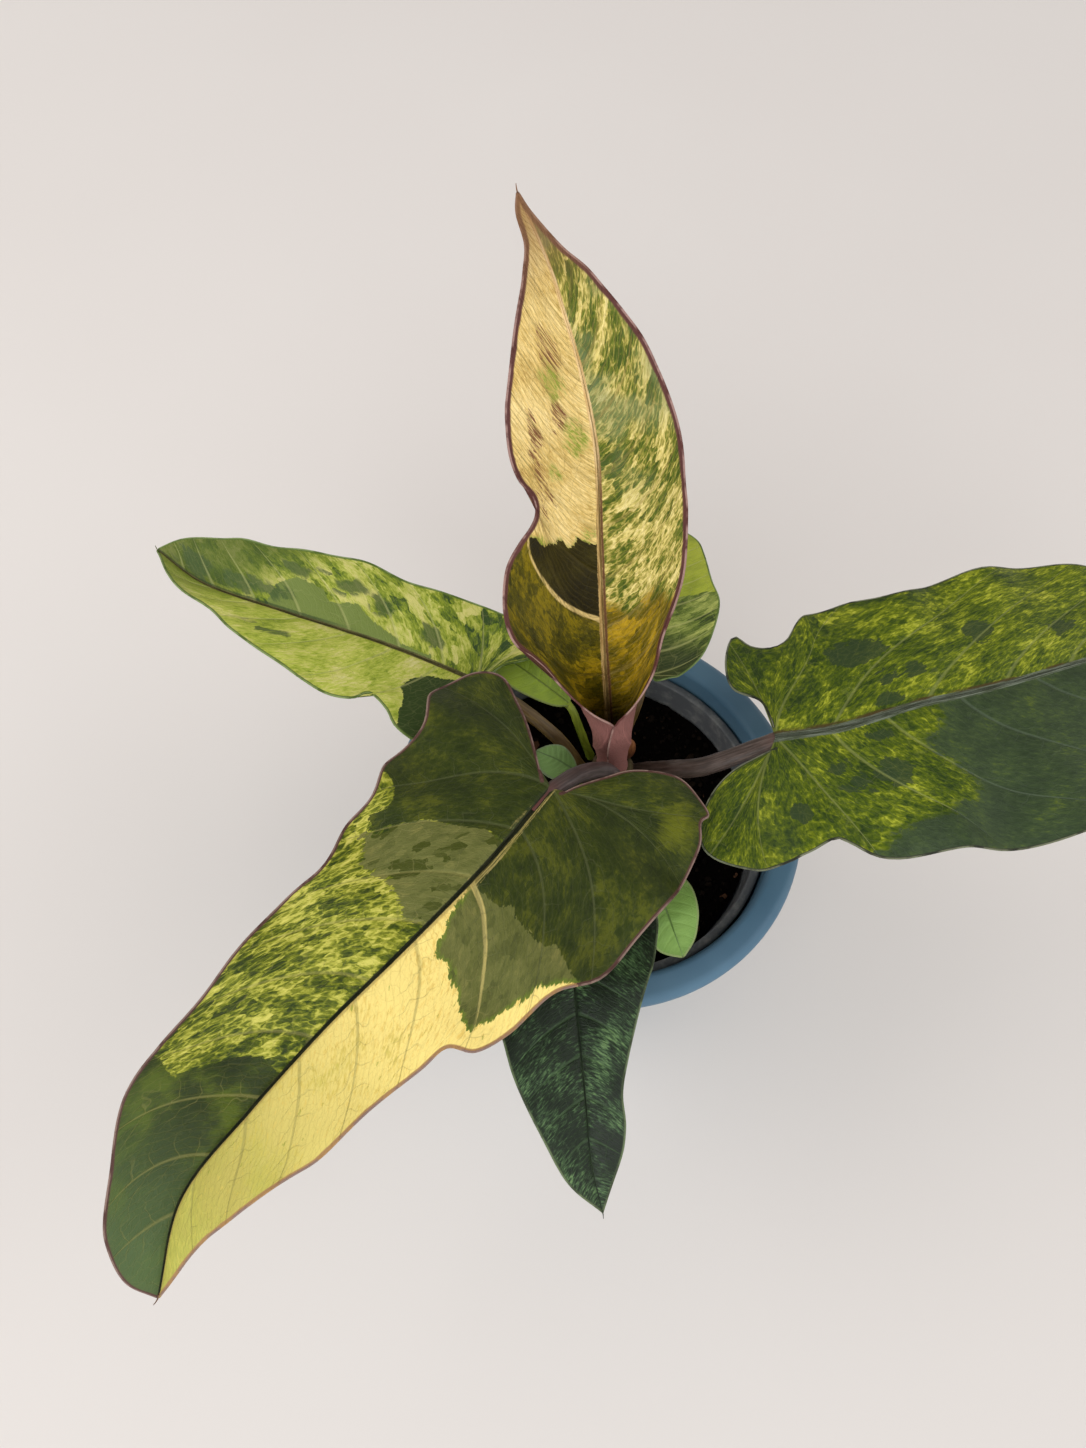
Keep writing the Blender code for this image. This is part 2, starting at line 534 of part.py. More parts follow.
def stem_entry(point, direction):
    """How far to go from a point, along the direction, to the spot where it comes clear of the stem."""
    px, py = point[0] - STEM_CENTRE[0], point[1] - STEM_CENTRE[1]
    a = direction[0] ** 2 + direction[1] ** 2
    b = 2 * (px * direction[0] + py * direction[1])
    c = px ** 2 + py ** 2 - (STEM_RADIUS + GAP) ** 2
    return (-b + math.sqrt(b * b - 4 * a * c)) / (2 * a)


def seated(rings, direction):
    """A stalk's rings cut off at the stem's side, and then those that lie clear of the cut."""
    foot = [p + direction * stem_entry(p, direction) for p in rings[0]]
    clear = [min(np.dot(q - p, direction) for p, q in zip(foot, ring)) > GAP for ring in rings]
    return [foot] + rings[clear.index(True):]


def make_stalk(name, spec):
    """A leaf stalk: a tapered rod with a shallow groove on top, from its seat to the blade's base."""
    leaf = Leaf(**LEAVES[name])
    end_radius = LEAVES[name]["stalk_radius"]
    base, ahead, _, up = (v[0] for v in leaf.frame(np.zeros(1)))
    end = base - up * STALK_DROP * end_radius - ahead * STALK_END_GAP
    path = smooth_curve(spec["route"] + [tuple(end)], STALK_STEPS)
    heading = np.gradient(path, axis=0)
    heading[-1] = ahead
    heading /= np.linalg.norm(heading, axis=1)[:, None]
    if spec["seat"] == "stem_top":
        heading[0] = (0, 0, 1)
        path[0][2] = STEM_TOP + GAP
    side = np.cross(ahead, up)
    widths = [spec["radius"], end_radius * SHEATH_SWELL, end_radius]
    radii = np.interp(np.linspace(0, 1, len(path)), [0, SHEATH_SHARE, 1], widths)
    rings = []
    for centre, direction, radius in zip(path[::-1], heading[::-1], radii[::-1]):
        side = side - direction * np.dot(side, direction)
        side /= np.linalg.norm(side)
        top = np.cross(side, direction)
        ring = []
        for k in range(STALK_SIDES):
            turn = 2 * math.pi * k / STALK_SIDES
            dip = 1 - STALK_GROOVE * max(0.0, math.cos(turn)) ** 6
            ring.append(centre + radius * dip * (top * math.cos(turn) + side * math.sin(turn)))
        rings.append(ring)
    rings.reverse()
    foot = path[0]
    if spec["seat"] == "stem_side":
        rings = seated(rings, heading[0])
        foot = foot + heading[0] * stem_entry(foot, heading[0])
    points = [p for ring in rings for p in ring] + [foot]
    faces = [((k + 1) % STALK_SIDES, k, len(points) - 1) for k in range(STALK_SIDES)]
    for row in range(len(rings) - 1):
        for k in range(STALK_SIDES):
            a, b = row * STALK_SIDES + k, row * STALK_SIDES + (k + 1) % STALK_SIDES
            faces.append((a, b, b + STALK_SIDES, a + STALK_SIDES))
    last = (len(rings) - 1) * STALK_SIDES
    faces.append(tuple(range(last, last + STALK_SIDES)))
    return solid("stalk_" + name, points, faces, material("stalk_" + name, spec["colour"], 0.5), 60.0)


def make_bud():
    """A pointed shoot bud beside the newest leaf."""
    low = STEM_TOP + GAP
    shares = ((0, 0.85), (0.2, 1.1), (0.45, 1.2), (0.7, 0.95), (0.88, 0.5))
    profile = [(0, low)] + [(BUD_RADIUS * r, low + BUD_HEIGHT * h) for h, r in shares]
    profile += [(0, low + BUD_HEIGHT)]
    made = turned("bud", profile, BUD_SEGMENTS, material("bud_orange", ORANGE, 0.5))
    made.location = (BUD_FOOT[0] * MM, BUD_FOOT[1] * MM, 0)
    return made


def build():
    clear_scene()
    make_pot()
    make_nursery_pot()
    make_soil()
    make_stem()
    make_bud()
    for name, spec in STALKS.items():
        make_stalk(name, spec)
    for name, spec in LEAVES.items():
        make_blade(name, spec)


build()
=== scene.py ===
"""The looks of a potted variegated aroid: finer leaves, stalks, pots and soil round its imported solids.

Sizes are in millimetres until mesh_piece() turns them into metres. The outlines, spines and routes
are those of the part's own source, so each finer piece lies where its solid lies, apart from the top
leaf's rolled base: its flaps reach further round than the solid's and cross. A leaf is described
flat, with x along its midrib from the stalk to the tip and y across it, positive towards its right
edge, and is then bent along a spine in space.
"""

import math

import bpy
import numpy as np
from mathutils import Matrix, Vector, noise


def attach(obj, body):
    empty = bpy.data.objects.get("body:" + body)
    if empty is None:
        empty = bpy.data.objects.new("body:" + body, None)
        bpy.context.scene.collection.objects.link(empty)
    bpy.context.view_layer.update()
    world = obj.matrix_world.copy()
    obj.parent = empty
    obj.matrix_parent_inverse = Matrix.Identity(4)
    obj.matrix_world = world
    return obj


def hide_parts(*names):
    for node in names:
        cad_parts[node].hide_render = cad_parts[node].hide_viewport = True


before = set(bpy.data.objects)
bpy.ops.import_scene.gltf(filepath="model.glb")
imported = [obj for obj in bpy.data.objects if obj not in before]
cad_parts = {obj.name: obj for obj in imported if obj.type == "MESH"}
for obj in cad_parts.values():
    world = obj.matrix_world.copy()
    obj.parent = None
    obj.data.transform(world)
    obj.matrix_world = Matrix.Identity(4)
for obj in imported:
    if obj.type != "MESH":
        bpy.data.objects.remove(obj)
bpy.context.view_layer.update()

MM = 0.001
GAP = 0.3
SEED = 11

# Outer pot, nursery pot, soil, stem and bud: their sizes are the part's, and the soil's shoulder,
# relief and crumbs are this file's
POT_HEIGHT, POT_TOP_RADIUS, POT_BASE_RADIUS = 120.0, 70.0, 50.0
POT_RIM_WIDTH, POT_RIM_DEPTH, POT_WALL, POT_FLOOR = 10.0, 19.0, 6.0, 6.0
POT_ROUNDINGS = (2.0, 3.5, 2.5)
POT_UNDERSIDE = [(0, 0.5), (30, 0.5), (43, 0.4), (45, 0)]
NURSERY_TOP, NURSERY_LIP_RADIUS, NURSERY_LIP_DEPTH, NURSERY_LIP_WALL = 111.6, 59.2, 8.0, 3.2
NURSERY_LIP_ROUNDINGS = (1.2, 0.8)
NURSERY_BODY_RADIUS, NURSERY_BASE_RADIUS, NURSERY_WALL = 57.0, 42.5, 1.5
SOIL_LEVEL, SOIL_RINGS = 101.0, 56
SOIL_LUMPS = ((13.0, 1.5), (5.0, 0.9), (2.2, 0.5), (1.0, 0.3))
CRUMBS, CHIP_SHARE, CHIP_SHAPE, CRUMB_SHAPE = 2600, 0.16, (1.9, 0.9, 0.45), (1.0, 0.85, 0.75)
CRUMB_REACH, CRUMB_SMALLEST, CRUMB_RANGE, CRUMB_LIFT = 0.985, 0.35, 1.25, 0.25
SOIL_SHOULDER = 4.0
STEM_CENTRE, STEM_RADIUS, STEM_TOP, STEM_FOOT = (5.0, 14.0), 8.0, 117.0, 70.0
STEM_SCARS, STEM_SCAR_HEIGHT, STEM_SCAR_DEPTH = (103.0, 109.0), 1.6, 0.5
SOIL_MOUND, SOIL_MOUND_SPREAD = 1.2, 260.0
STEM_RING, STEM_LUMPS = 95.0, 0.25
BUD_FOOT, BUD_HEIGHT, BUD_RADIUS = (10.2, 18.6), 12.0, 1.9
BUD_SHAPE = ((0, 0.85), (0.2, 1.1), (0.45, 1.2), (0.7, 0.95), (0.88, 0.5), (1.0, 0.05))
TURNED_SEGMENTS, STEM_SEGMENTS, BUD_SEGMENTS = 160, 72, 32

# Leaf blades, thinner here than the solids' 0.8 mm
BLADE = 0.5
FULL_SIZE = 120.0
RIB_FADE_START, RIB_FADE_POWER = 1.15, 0.6
QUILT_MARGIN, QUILT_RIB = 3.0, 4.0
WAVE_TURN, KEEL_FADE = 0.9, 0.8
KEEL_HALF_WIDTH = 2.0
VEIN_LEAN = 0.7
VEIN_EVENNESS = 0.4
VEIN_BEND = (0.3, 0.55)
WAVE_REACH = 30.0
BEAD_RADIUS = 0.33
BEAD_SIDES = 6
HOOK, HOOK_RADII, HOOK_RINGS = 1.8, (0.35, 0.1), 8
VEIN_GROOVE, GROOVE_TOP, GROOVE_BELOW = 0.6, 0.22, 0.3
QUILT, QUILT_REACH = 0.4, 3.0
SWELL, SWELL_SIZE = 0.35, 11.0
FAN_ROWS, FEWEST_COLUMNS = 46, 12
WIDEST_VEIN_GAP = 30.0
STATION_STEP = 0.85
COLUMNS = 40

# Each leaf: its spine, folds, cups and edges are the part's, but for the cups and the first part of
# the edges of the top leaf, which close its rolled base. Rib is the height and half width of the
# midrib's relief, and a vein is (start on the midrib, bend, end x, end y) in the flat leaf.
LEAVES = {
    "front": dict(
        spine=[(-20, -17, 170), (-39, -43, 175), (-61, -67, 173), (-79, -84, 166), (-99, -105, 156),
               (-117, -126, 144), (-124, -150, 126)],
        fold=(6, 8, 14, 22, 24), cup_right=(-0.3, -0.3, -0.35, -0.4, -0.3),
        cup_left=(-0.3, -0.3, -0.35, -0.4, -0.3),
        right_edge=[(0, 3.4), (-12, 17), (-18, 26), (-22, 35), (-17, 44), (-4, 48), (8, 41.5), (25, 42),
                    (39, 37), (51, 36.5), (64, 31.5), (80, 32.5), (105, 30), (125, 29), (140, 27.5),
                    (153, 19), (166, 15.5), (178, 9), (183, 0)],
        left_edge=[(0, 3.4), (-5.5, 5.8), (-13, 10.5), (-20, 15.5), (-26, 24), (-27.5, 30), (-25, 37),
                   (-22, 41.5), (-18, 41), (-11, 45), (5, 47), (23, 45), (36, 44), (46, 37.5),
                   (60, 36), (68, 33.5), (72, 27.5), (80, 27), (97, 25), (115, 24), (127, 20.5),
                   (148, 15.5), (169, 6.5), (183, 0)],
        keel=2.6, waves=(1.0, 31.0), rib=(-0.7, 0.8),
        veins_right=[(0, -12.5, -9, 46.5), (0, 2, 38, 37.5), (18, 25, 56, 34), (37, 46, 80, 32.5),
                     (55, 64, 97, 30.5), (76, 84, 114, 29.5), (97, 104, 131, 29), (118, 125, 146, 23.5),
                     (138, 144, 159, 17), (157, 162, 171, 13)],
        veins_left=[(0, -8, -20, 41.3), (0, -11, 1, 46.6), (0, 12, 38, 43), (17, 25, 54, 36.7),
                    (38, 45.5, 69, 31), (60, 67, 88, 26), (82, 88, 108, 24.5), (103, 109, 127, 20.5),
                    (124, 130, 145, 16), (145, 150, 163, 9)]),
    "right": dict(
        spine=[(51, 6, 160), (70, 7, 166), (93, 13, 171), (118, 19, 173), (150, 30, 172),
               (182, 43, 166), (216, 60, 157)],
        fold=(2, 3, 4, 6, 8), cup_right=(-0.3, -0.35, -0.35, -0.3, -0.3),
        cup_left=(-0.3, -0.35, -0.35, -0.3, -0.3),
        right_edge=[(0, 3.6), (-5, 5.2), (-14.5, 9.2), (-21.5, 15.5), (-25.5, 23), (-26.8, 31),
                    (-23.5, 36), (-15, 39.5), (-7.5, 41), (5.5, 38.5), (12.5, 34.5), (15.5, 36),
                    (21.5, 42), (33, 45), (56.5, 49), (77, 50.5), (100, 47), (125, 37), (150, 23),
                    (168, 10), (178, 0)],
        left_edge=[(0, 3.6), (-0.5, 7), (-3, 14), (-11, 20), (-12, 30.5), (-8.5, 41), (-3.5, 36),
                   (2, 33.5), (7, 35), (15, 41.5), (37, 43), (49.5, 40), (74, 42.5), (104, 39.5),
                   (129.5, 31), (150, 20), (167, 9), (178, 0)],
        keel=2.6, waves=(1.2, 37.0), rib=(0.45, 1.0),
        veins_right=[(0, -10, -24.5, 34.5), (0, -12.5, -8.5, 41), (0, 16, 20, 41), (17, 28, 58, 49),
                     (34, 43, 92, 48.5), (58, 68, 116, 41), (84, 94, 136, 31), (108, 117, 152, 21.5),
                     (130, 137, 163, 14), (150, 156, 171, 8)],
        veins_left=[(0, -3, -9.5, 38), (0, 4, 38, 43), (17, 35, 98, 40), (48, 62, 122, 33.5),
                    (74, 86, 140, 26), (98, 108, 152, 19), (122, 130, 162, 12), (144, 150, 170, 7)]),
    "left": dict(
        spine=[(-43, 33, 142), (-59, 38, 146), (-78, 45, 147), (-108, 56, 145), (-139, 71, 138),
               (-160, 90, 130)],
        fold=(12, 18, 26, 32, 34), cup_right=(-0.3, -0.4, -0.5, -0.7, -0.7),
        cup_left=(-0.3, -0.4, -0.5, -0.7, -0.7),
        right_edge=[(0, 2.9), (-3, 4.2), (-6.5, 9), (-13, 14), (-18, 18.5), (-17.5, 24), (-9.5, 27),
                    (0.5, 25.5), (14, 25), (32, 23), (52.5, 24.5), (81, 20.5), (101, 18.5), (123, 10.5),
                    (135, 0)],
        left_edge=[(0, 2.9), (-4, 6), (-12, 14), (-16, 24), (-10, 31), (0, 33), (11, 31.5), (18, 28.5),
                   (22.5, 24), (29, 21.5), (33, 26), (40.5, 27.5), (51, 26), (62, 22.5), (79, 17.5),
                   (92, 11.5), (106, 9), (119, 5.5), (135, 0)],
        keel=2.2, waves=(0.8, 23.0), rib=(-0.4, 0.8),
        veins_right=[(0, -6, -15, 25), (0, 2, 8, 25.3), (12, 18, 34, 23.3), (28, 36, 54, 24.4),
                     (46, 54, 74, 21.5), (64, 72, 92, 19.2), (82, 90, 108, 16.5), (100, 107, 121, 11.2),
                     (116, 121, 129, 6)],
        veins_left=[(0, -6, -12, 30), (0, 3, 10, 31.6), (14, 18, 34, 26.3), (30, 36, 52, 25.8),
                    (46, 53, 70, 20), (64, 70, 88, 13.3), (82, 88, 104, 9.3), (100, 106, 119, 5.5)]),
    "top": dict(
        spine=[(2, 13, 132), (-1, 15, 157), (-5, 24, 184), (-9, 39, 214), (-12, 50, 237),
               (-17, 60, 254), (-23, 72, 266), (-27, 81, 272), (-35, 97, 279)],
        face=(0, -0.8, 0.6),
        fold=(0, 0, 4, 8, 10, 12, 10), cup_right=(11.4, 8.2, 2.9, 0.6, 0.3, 0.1, -0.1),
        cup_left=(14, 8.7, 2.3, 0.5, 0.3, 0.1, -0.1),
        right_edge=[(0, 16.5), (10, 18.6), (20, 20.6), (30, 22.4), (37, 23.8), (42.5, 22), (51.5, 20.5),
                    (60.5, 19.5), (72, 22.5), (82, 24), (98, 24), (107, 23), (120, 22), (137, 18),
                    (146, 14.5), (157, 9.5), (165, 4.7), (176, 1.2), (183, 0)],
        left_edge=[(0, 13), (10, 15.8), (20, 19.6), (30, 22.6), (37, 24), (44, 22.8), (55, 23.5),
                   (61, 26.5), (66, 30.5), (71.5, 31.3), (79.5, 29.7), (87, 27.2), (92, 23.2),
                   (96, 19.4), (100, 17.6), (105, 18.2), (111.5, 21.6), (120, 23), (128.5, 22.2),
                   (136, 20), (148.5, 14.3), (157, 9.7), (164, 6.3), (170, 3.5), (178, 2.3), (183, 0)],
        keel=1.8, waves=(0.5, 27.0), rib=(0.35, 0.9),
        veins_right=[(10, 14, 40, 23), (26, 30, 58, 20), (42, 47, 76, 23), (60, 65, 92, 24),
                     (76, 81, 106, 23), (92, 97, 118, 22), (108, 112, 132, 19.5), (123, 127, 143, 15.5),
                     (137, 141, 154, 11), (150, 154, 163, 6)],
        veins_left=[(10, 14, 40, 23.5), (26, 30, 60, 26), (42, 46, 78, 30), (62, 60, 97, 18.5),
                    (78, 84, 112, 21.5), (92, 98, 126, 22.5), (106, 112, 138, 19.5),
                    (120, 126, 148, 14.5), (134, 139, 157, 9.7), (148, 152, 165, 6)]),
    "back": dict(
        spine=[(14, 37, 142), (17, 50, 150), (21, 69, 152), (26, 96, 147)],
        fold=(8, 8, 8), cup_right=(-0.3,), cup_left=(-0.3,),
        right_edge=[(0, 2.2), (-1, 4), (1, 8), (3, 11.5), (10.5, 16.7), (20, 18.8), (30, 19),
                    (37.5, 15.5), (49, 12), (57, 8.5), (63, 0)],
        left_edge=[(0, 2.2), (-4, 6), (-7, 11), (-2, 16), (8, 18.5), (20, 18.5), (34, 16), (48, 10),
                   (63, 0)],
        keel=1.2, waves=(0.5, 17.0), rib=(-0.3, 0.6)),
    "low": dict(
        spine=[(-12, -44, 144), (-12, -59, 148), (-12, -72, 149), (-9, -100, 143), (-7, -116, 136),
               (-3, -129, 127)],
        fold=(8, 12, 16, 18), cup_right=(-0.3, -0.4, -0.5, -0.5), cup_left=(-0.3, -0.4, -0.5, -0.5),
        right_edge=[(0, 2.5), (-7, 7), (-12, 13), (-9, 20), (2, 24), (16, 25.5), (28, 24.5), (39, 22),
                    (49, 20), (59, 16.5), (69, 12), (79, 7.5), (91, 0)],
        left_edge=[(0, 2.5), (-6, 7), (-11, 12), (-9, 19), (0, 24), (8.5, 25), (23, 22), (37, 17),
                   (48, 13), (57, 10.5), (66, 10.5), (76, 8), (91, 0)],
        keel=1.6, waves=(0.5, 21.0), rib=(-0.35, 0.6)),
    "bright": dict(
        spine=[(16, -26, 122), (20, -41, 126), (25, -54, 122)],
        fold=(8, 8), cup_right=(-0.6,), cup_left=(-0.6,),
        right_edge=[(0, 0.9), (2.5, 6), (9, 9.5), (19, 9), (25, 7.5), (28, 5), (31, 0)],
        left_edge=[(0, 0.9), (3, 8), (9.5, 10.5), (17, 10), (22, 8.3), (27, 5.2), (31, 0)],
        keel=0.6, waves=(0.2, 11.0), rib=(-0.2, 0.5)),
    "light": dict(
        spine=[(-11, 33, 128), (-20, 37.5, 133), (-30, 44, 135), (-40, 52.5, 132)],
        fold=(6, 6), cup_right=(-0.5,), cup_left=(-0.5,),
        right_edge=[(0, 1.5), (6, 6), (15, 9), (25, 8.5), (33, 5), (37.5, 0)],
        left_edge=[(0, 1.5), (5, 4.8), (13, 7.2), (21, 8), (32, 5), (37.5, 0)],
        keel=1.0, waves=(0.2, 13.0), rib=(-0.2, 0.5)),
    "mint": dict(
        spine=[(-9, 5.8, 131), (-15.5, 8.5, 134), (-22.5, 12, 133)],
        fold=(4, 4), cup_right=(-0.8,), cup_left=(-0.8,),
        right_edge=[(0, 1.0), (2.5, 3.2), (6, 4.8), (9.5, 5), (13, 3.4), (16, 0)],
        left_edge=[(0, 1.0), (3, 5), (7, 7), (11, 6), (14, 3.2), (16, 0)],
        keel=0.6, waves=(0.1, 9.0), rib=(-0.15, 0.4)),
}

# Colour zones of the leaves: their corners in the flat leaf
ZONES = {
    "front": dict(
        lobe=[(24, 0), (24, 6.8), (34, 21.7), (48, 30.2), (44, 33), (38.6, 31), (33, 33), (30, 37),
              (27, 50), (-40, 60), (-40, -60), (50, -60), (50, 0)],
        grey=[(37.7, 6), (38.8, -2.8), (39, -8.4), (38.8, -12.1), (35.8, -13.2), (38.5, -17.9),
              (39.3, -24), (39.2, -27.8), (36.9, -29.5), (38.6, -33.3), (39.9, -38.5), (40, -50),
              (80, -50), (80, 6)],
        cream=[(39.6, 6), (39.6, -1), (49.9, -3), (60, -7.2), (58.5, -11.5), (60.9, -16.4),
               (64.5, -21.8), (66.4, -28.3), (60.7, -30.6), (54.9, -32.3), (48.4, -33.2),
               (43.8, -36.3), (40.1, -40.8), (44, -55), (200, -55), (200, 6)],
        patch=[(22, -6), (23, 6.8), (34, 21.7), (42, 27.5), (50, 30.5), (56.2, 24), (53.7, 16.3),
               (55.2, 11.2), (57.9, 5.4), (53, -6)],
        tip=[(108.9, -6), (109.8, 7.1), (114.8, 13), (122.5, 18), (128.5, 20.8), (127, 50), (200, 50),
             (200, -6)],
        glow=[(-14.3, -29.8), (-19.7, -35.9), (-10.3, -41.7), (-5, -35.7)],
        stripe=[(-1, -0.7), (20, -0.8), (38, -0.7), (41, -2.6), (30, -2.4), (20, -2), (8, -1.7),
                (-1, -1.5)],
        stripe_left=[(8, 1.2), (16, 1.0), (25, 1.1), (16, 1.9)]),
    "top": dict(
        dark=[(93.7, -19.9), (90.3, -16.4), (90.5, -14.6), (90.1, -11.4), (87.3, -8.1), (90.3, -6.2),
              (88.2, -3.2), (86.7, 6), (-10, 6), (-10, -60), (92, -60)],
        below=[(62, 6), (63.7, -2.4), (66.6, -7), (73.3, -13.6), (83.2, -18.8), (90.7, -20.7),
               (94.9, -19.8), (99, -22), (90, -60), (-10, -60), (-10, 6)],
        gold=[(70, -6), (66, 8), (74, 16), (70, 40), (-10, 60), (-10, -6)]),
    "right": dict(
        dark=[(50.7, -6), (50.7, 4.9), (46.5, 11.2), (42.3, 12.1), (49.5, 21.9), (54.2, 27.5),
              (51.9, 33.9), (38.6, 34.9), (26.5, 35.3), (19.7, 41.1), (19, 60), (200, 60), (200, -6)]),
    "left": dict(
        lobe=[(21.5, -14.7), (20.1, -11.2), (16.1, -6.6), (10.2, -4.6), (4, -2), (-30, -2), (-30, -50),
              (16, -50), (17, -28.4), (18.9, -24.7), (18.5, -21.6), (19.6, -16.9)],
        wedge=[(71.1, 12.2), (59.7, 11.6), (56.3, 7.6), (46.5, 9.6), (39.7, 5.6), (27.8, 1.9),
               (17.4, 1.7), (17, -6), (80, -6), (76, 8)],
        lower=[(-40, 6), (150, 6), (150, -50), (-40, -50)]),
    "back": dict(bright=[(27, 0), (29.1, 5.3), (30.9, 11.2), (32.5, 13.4), (36, 30), (80, 30), (80, -30),
                         (27, -30)]),
}

# The usual share of each of a blade's tones in its marbling
MARBLING = dict(coarse=0.75, small=0.45, fleck=0.45, cloud=0.25)

# Pale veins that stand out: their routes in the flat leaf
PALE_VEINS = {
    "front": [(38.3, 0), (42, -7.8), (46.8, -13.6), (51.4, -18.3), (62.5, -27.2), (66, -29.5)],
    "top": [(62, 0), (63.7, -2.4), (66.6, -7), (73.3, -13.6), (83.2, -18.8), (90.7, -20.7),
            (94.9, -19.8)],
}

# Blotches: (x, y, half length, half width) in the flat leaf
BLOTCHES = {
    "right": dict(blotch=[(32.7, -23.8, 9, 5), (47.9, -12.3, 2.8, 2), (39.9, -12.2, 3.4, 2.4),
                          (37.9, -4.2, 3, 2.2), (103, -13.9, 4, 3), (75.2, -20.1, 5, 3.4),
                          (3.9, 25.6, 4, 3), (29, 18.1, 8, 3.4), (20, 18.7, 3, 2), (16.9, 12.7, 2.6, 2),
                          (30.4, 5.3, 4, 2.2), (124, -12, 4, 2.6)]),
    "left": dict(blotch=[(112, 5, 11, 3.4), (90, 5, 13, 2.8), (68, -12, 6, 2), (20, 8, 4, 2.6),
                         (52, 15, 4, 2), (72, 15, 5, 1.6), (38, 12, 3.5, 3)]),
    "top": dict(brown=[(142, -7, 6.5, 2.6), (127.7, -8.1, 5, 1.8), (123, -15.5, 5.5, 1.5),
                       (107, -15.5, 8, 1.8)],
                green=[(136, -8, 4.5, 2.4), (120, -5, 5, 3), (112, -12, 2.2, 1.2), (90, -3.4, 3, 2.4),
                       (90.5, -17.5, 2.6, 2.4)]),
}

# Each stalk: its route from the stem or the soil, its radii at foot and blade, and what its foot stands on
STALKS = {
    "front": dict(route=[(4, 8.5, 117), (4, 4.2, 127), (3, -0.8, 137), (1, -2.4, 147.5),
                         (-4, -5.5, 157.5), (-12, -10.7, 165)], radii=(4.1, 2.7), seat="stem_top"),
    "top": dict(route=[(4.5, 17, 117), (3.5, 15, 125)], radii=(3.6, 3.4), seat="stem_top"),
    "right": dict(route=[(9.5, 14.5, 107), (15, 13, 115), (18.5, 8.5, 127), (23, 3.8, 139),
                         (30, 1.2, 147), (38.5, 2.3, 152.5)], radii=(3.9, 2.9), seat="stem_side"),
    "left": dict(route=[(0, 14.5, 107), (-6, 15, 113), (-11, 17, 123), (-18, 20, 132),
                        (-31, 27, 139)], radii=(2.8, 2.2), seat="stem_side"),
    "back": dict(route=[(6.5, 19, 107), (8.5, 25, 112), (10, 26.5, 122), (12, 30, 135)],
                 radii=(1.8, 1.5), seat="stem_side"),
    "low": dict(route=[(4.3, 9, 104), (3.5, 2, 108), (0, -8, 117), (-4, -22, 130), (-9, -36, 140)],
                radii=(2.4, 1.8), seat="stem_side"),
    "bright": dict(route=[(13, 2, 92), (13, 1.8, 103), (13.2, -5, 112), (14.3, -16, 118.5)],
                   radii=(1.2, 0.9), seat="soil"),
    "light": dict(route=[(-1, 25.5, 92), (-1.2, 25, 101), (-3.4, 25.5, 109), (-6.3, 27.5, 118),
                         (-9.5, 31, 125.5)], radii=(1.9, 1.4), seat="soil"),
    "mint": dict(route=[(-5, 6, 92), (-5.1, 5.9, 103), (-6.5, 3.8, 112), (-7.3, 3.3, 120),
                        (-7.8, 4, 127)], radii=(1.2, 1.0), seat="soil"),
}
STALK_SIDES, STALK_LUMPS, STALK_DROP, SHEATH_SWELL = 28, 0.12, 0.9, 1.08
STALK_GROOVE = 0.16
SHEATH_SHARE = 0.35

# Each stalk skin: three tones along its fibres, and its tone next to the blade
STALK_SKINS = {
    "mauve": (((0.026, 0.017, 0.015), (0.055, 0.036, 0.032), (0.10, 0.070, 0.064)), (0.11, 0.036, 0.030)),
    "funnel": (((0.11, 0.05, 0.04), (0.19, 0.09, 0.075), (0.28, 0.15, 0.12)), (0.23, 0.12, 0.10)),
    "brown": (((0.032, 0.020, 0.014), (0.068, 0.044, 0.034), (0.13, 0.095, 0.080)), (0.13, 0.06, 0.045)),
    "olive": (((0.060, 0.034, 0.008), (0.11, 0.065, 0.018), (0.17, 0.11, 0.03)), (0.10, 0.09, 0.03)),
    "green": (((0.12, 0.16, 0.010), (0.22, 0.27, 0.020), (0.36, 0.42, 0.05)), (0.22, 0.28, 0.03)),
}

# Each area light: its place, size, power and colour, in metres and watts
LIGHTS = {
    "key": ((-1.3, 0.2, 1.2), 1.2, 8, (1.0, 0.97, 0.94)),
    "window": ((-0.5, -1.35, 1.15), 1.1, 11, (0.96, 0.98, 1.0)),
    "fill": ((1.4, -0.1, 1.3), 1.4, 7, (1.0, 0.98, 0.97)),
}
LIGHT_TARGET = (0.0, 0.0, 0.1)

# The photo's view, in metres: the camera's place and its right, up and back directions
CAMERA_PLACE, CAMERA_LENS, CAMERA_SENSOR = (-0.0391, -0.1413, 0.4628), 27.05, 36.0
CAMERA_RIGHT = (0.99839, 0.0, 0.05670)
CAMERA_UP = (-0.02513, 0.89638, 0.44258)
CAMERA_BACK = (-0.05082, -0.44329, 0.89493)
FLOOR_HALF = 1.6


def smooth_curve(points, per_span):
    """A Catmull-Rom curve through the points, with per_span samples in each span."""
    p = np.asarray(points, float)
    p = np.vstack([2 * p[0] - p[1], p, 2 * p[-1] - p[-2]])
    t = (np.arange(per_span) / per_span)[:, None]
    spans = []
    for a, b, c, d in zip(p, p[1:], p[2:], p[3:]):
        spans.append(0.5 * (2 * b + (c - a) * t + (2 * a - 5 * b + 4 * c - d) * t ** 2
                            + (3 * b - a - 3 * c + d) * t ** 3))
    return np.vstack(spans + [p[-2:-1]])


def along(values, share):
    """The smooth curve through values at even steps, read at share from 0 to 1."""
    if len(values) == 1:
        return np.full(np.shape(share), float(values[0]))
    curve = smooth_curve(list(enumerate(values)), 16)
    return np.interp(np.clip(share, 0, 1) * (len(values) - 1), curve[:, 0], curve[:, 1])


def run_of(line):
    """The length along a line up to each of its points."""
    return np.concatenate([[0], np.cumsum(np.linalg.norm(np.diff(line, axis=0), axis=1))])


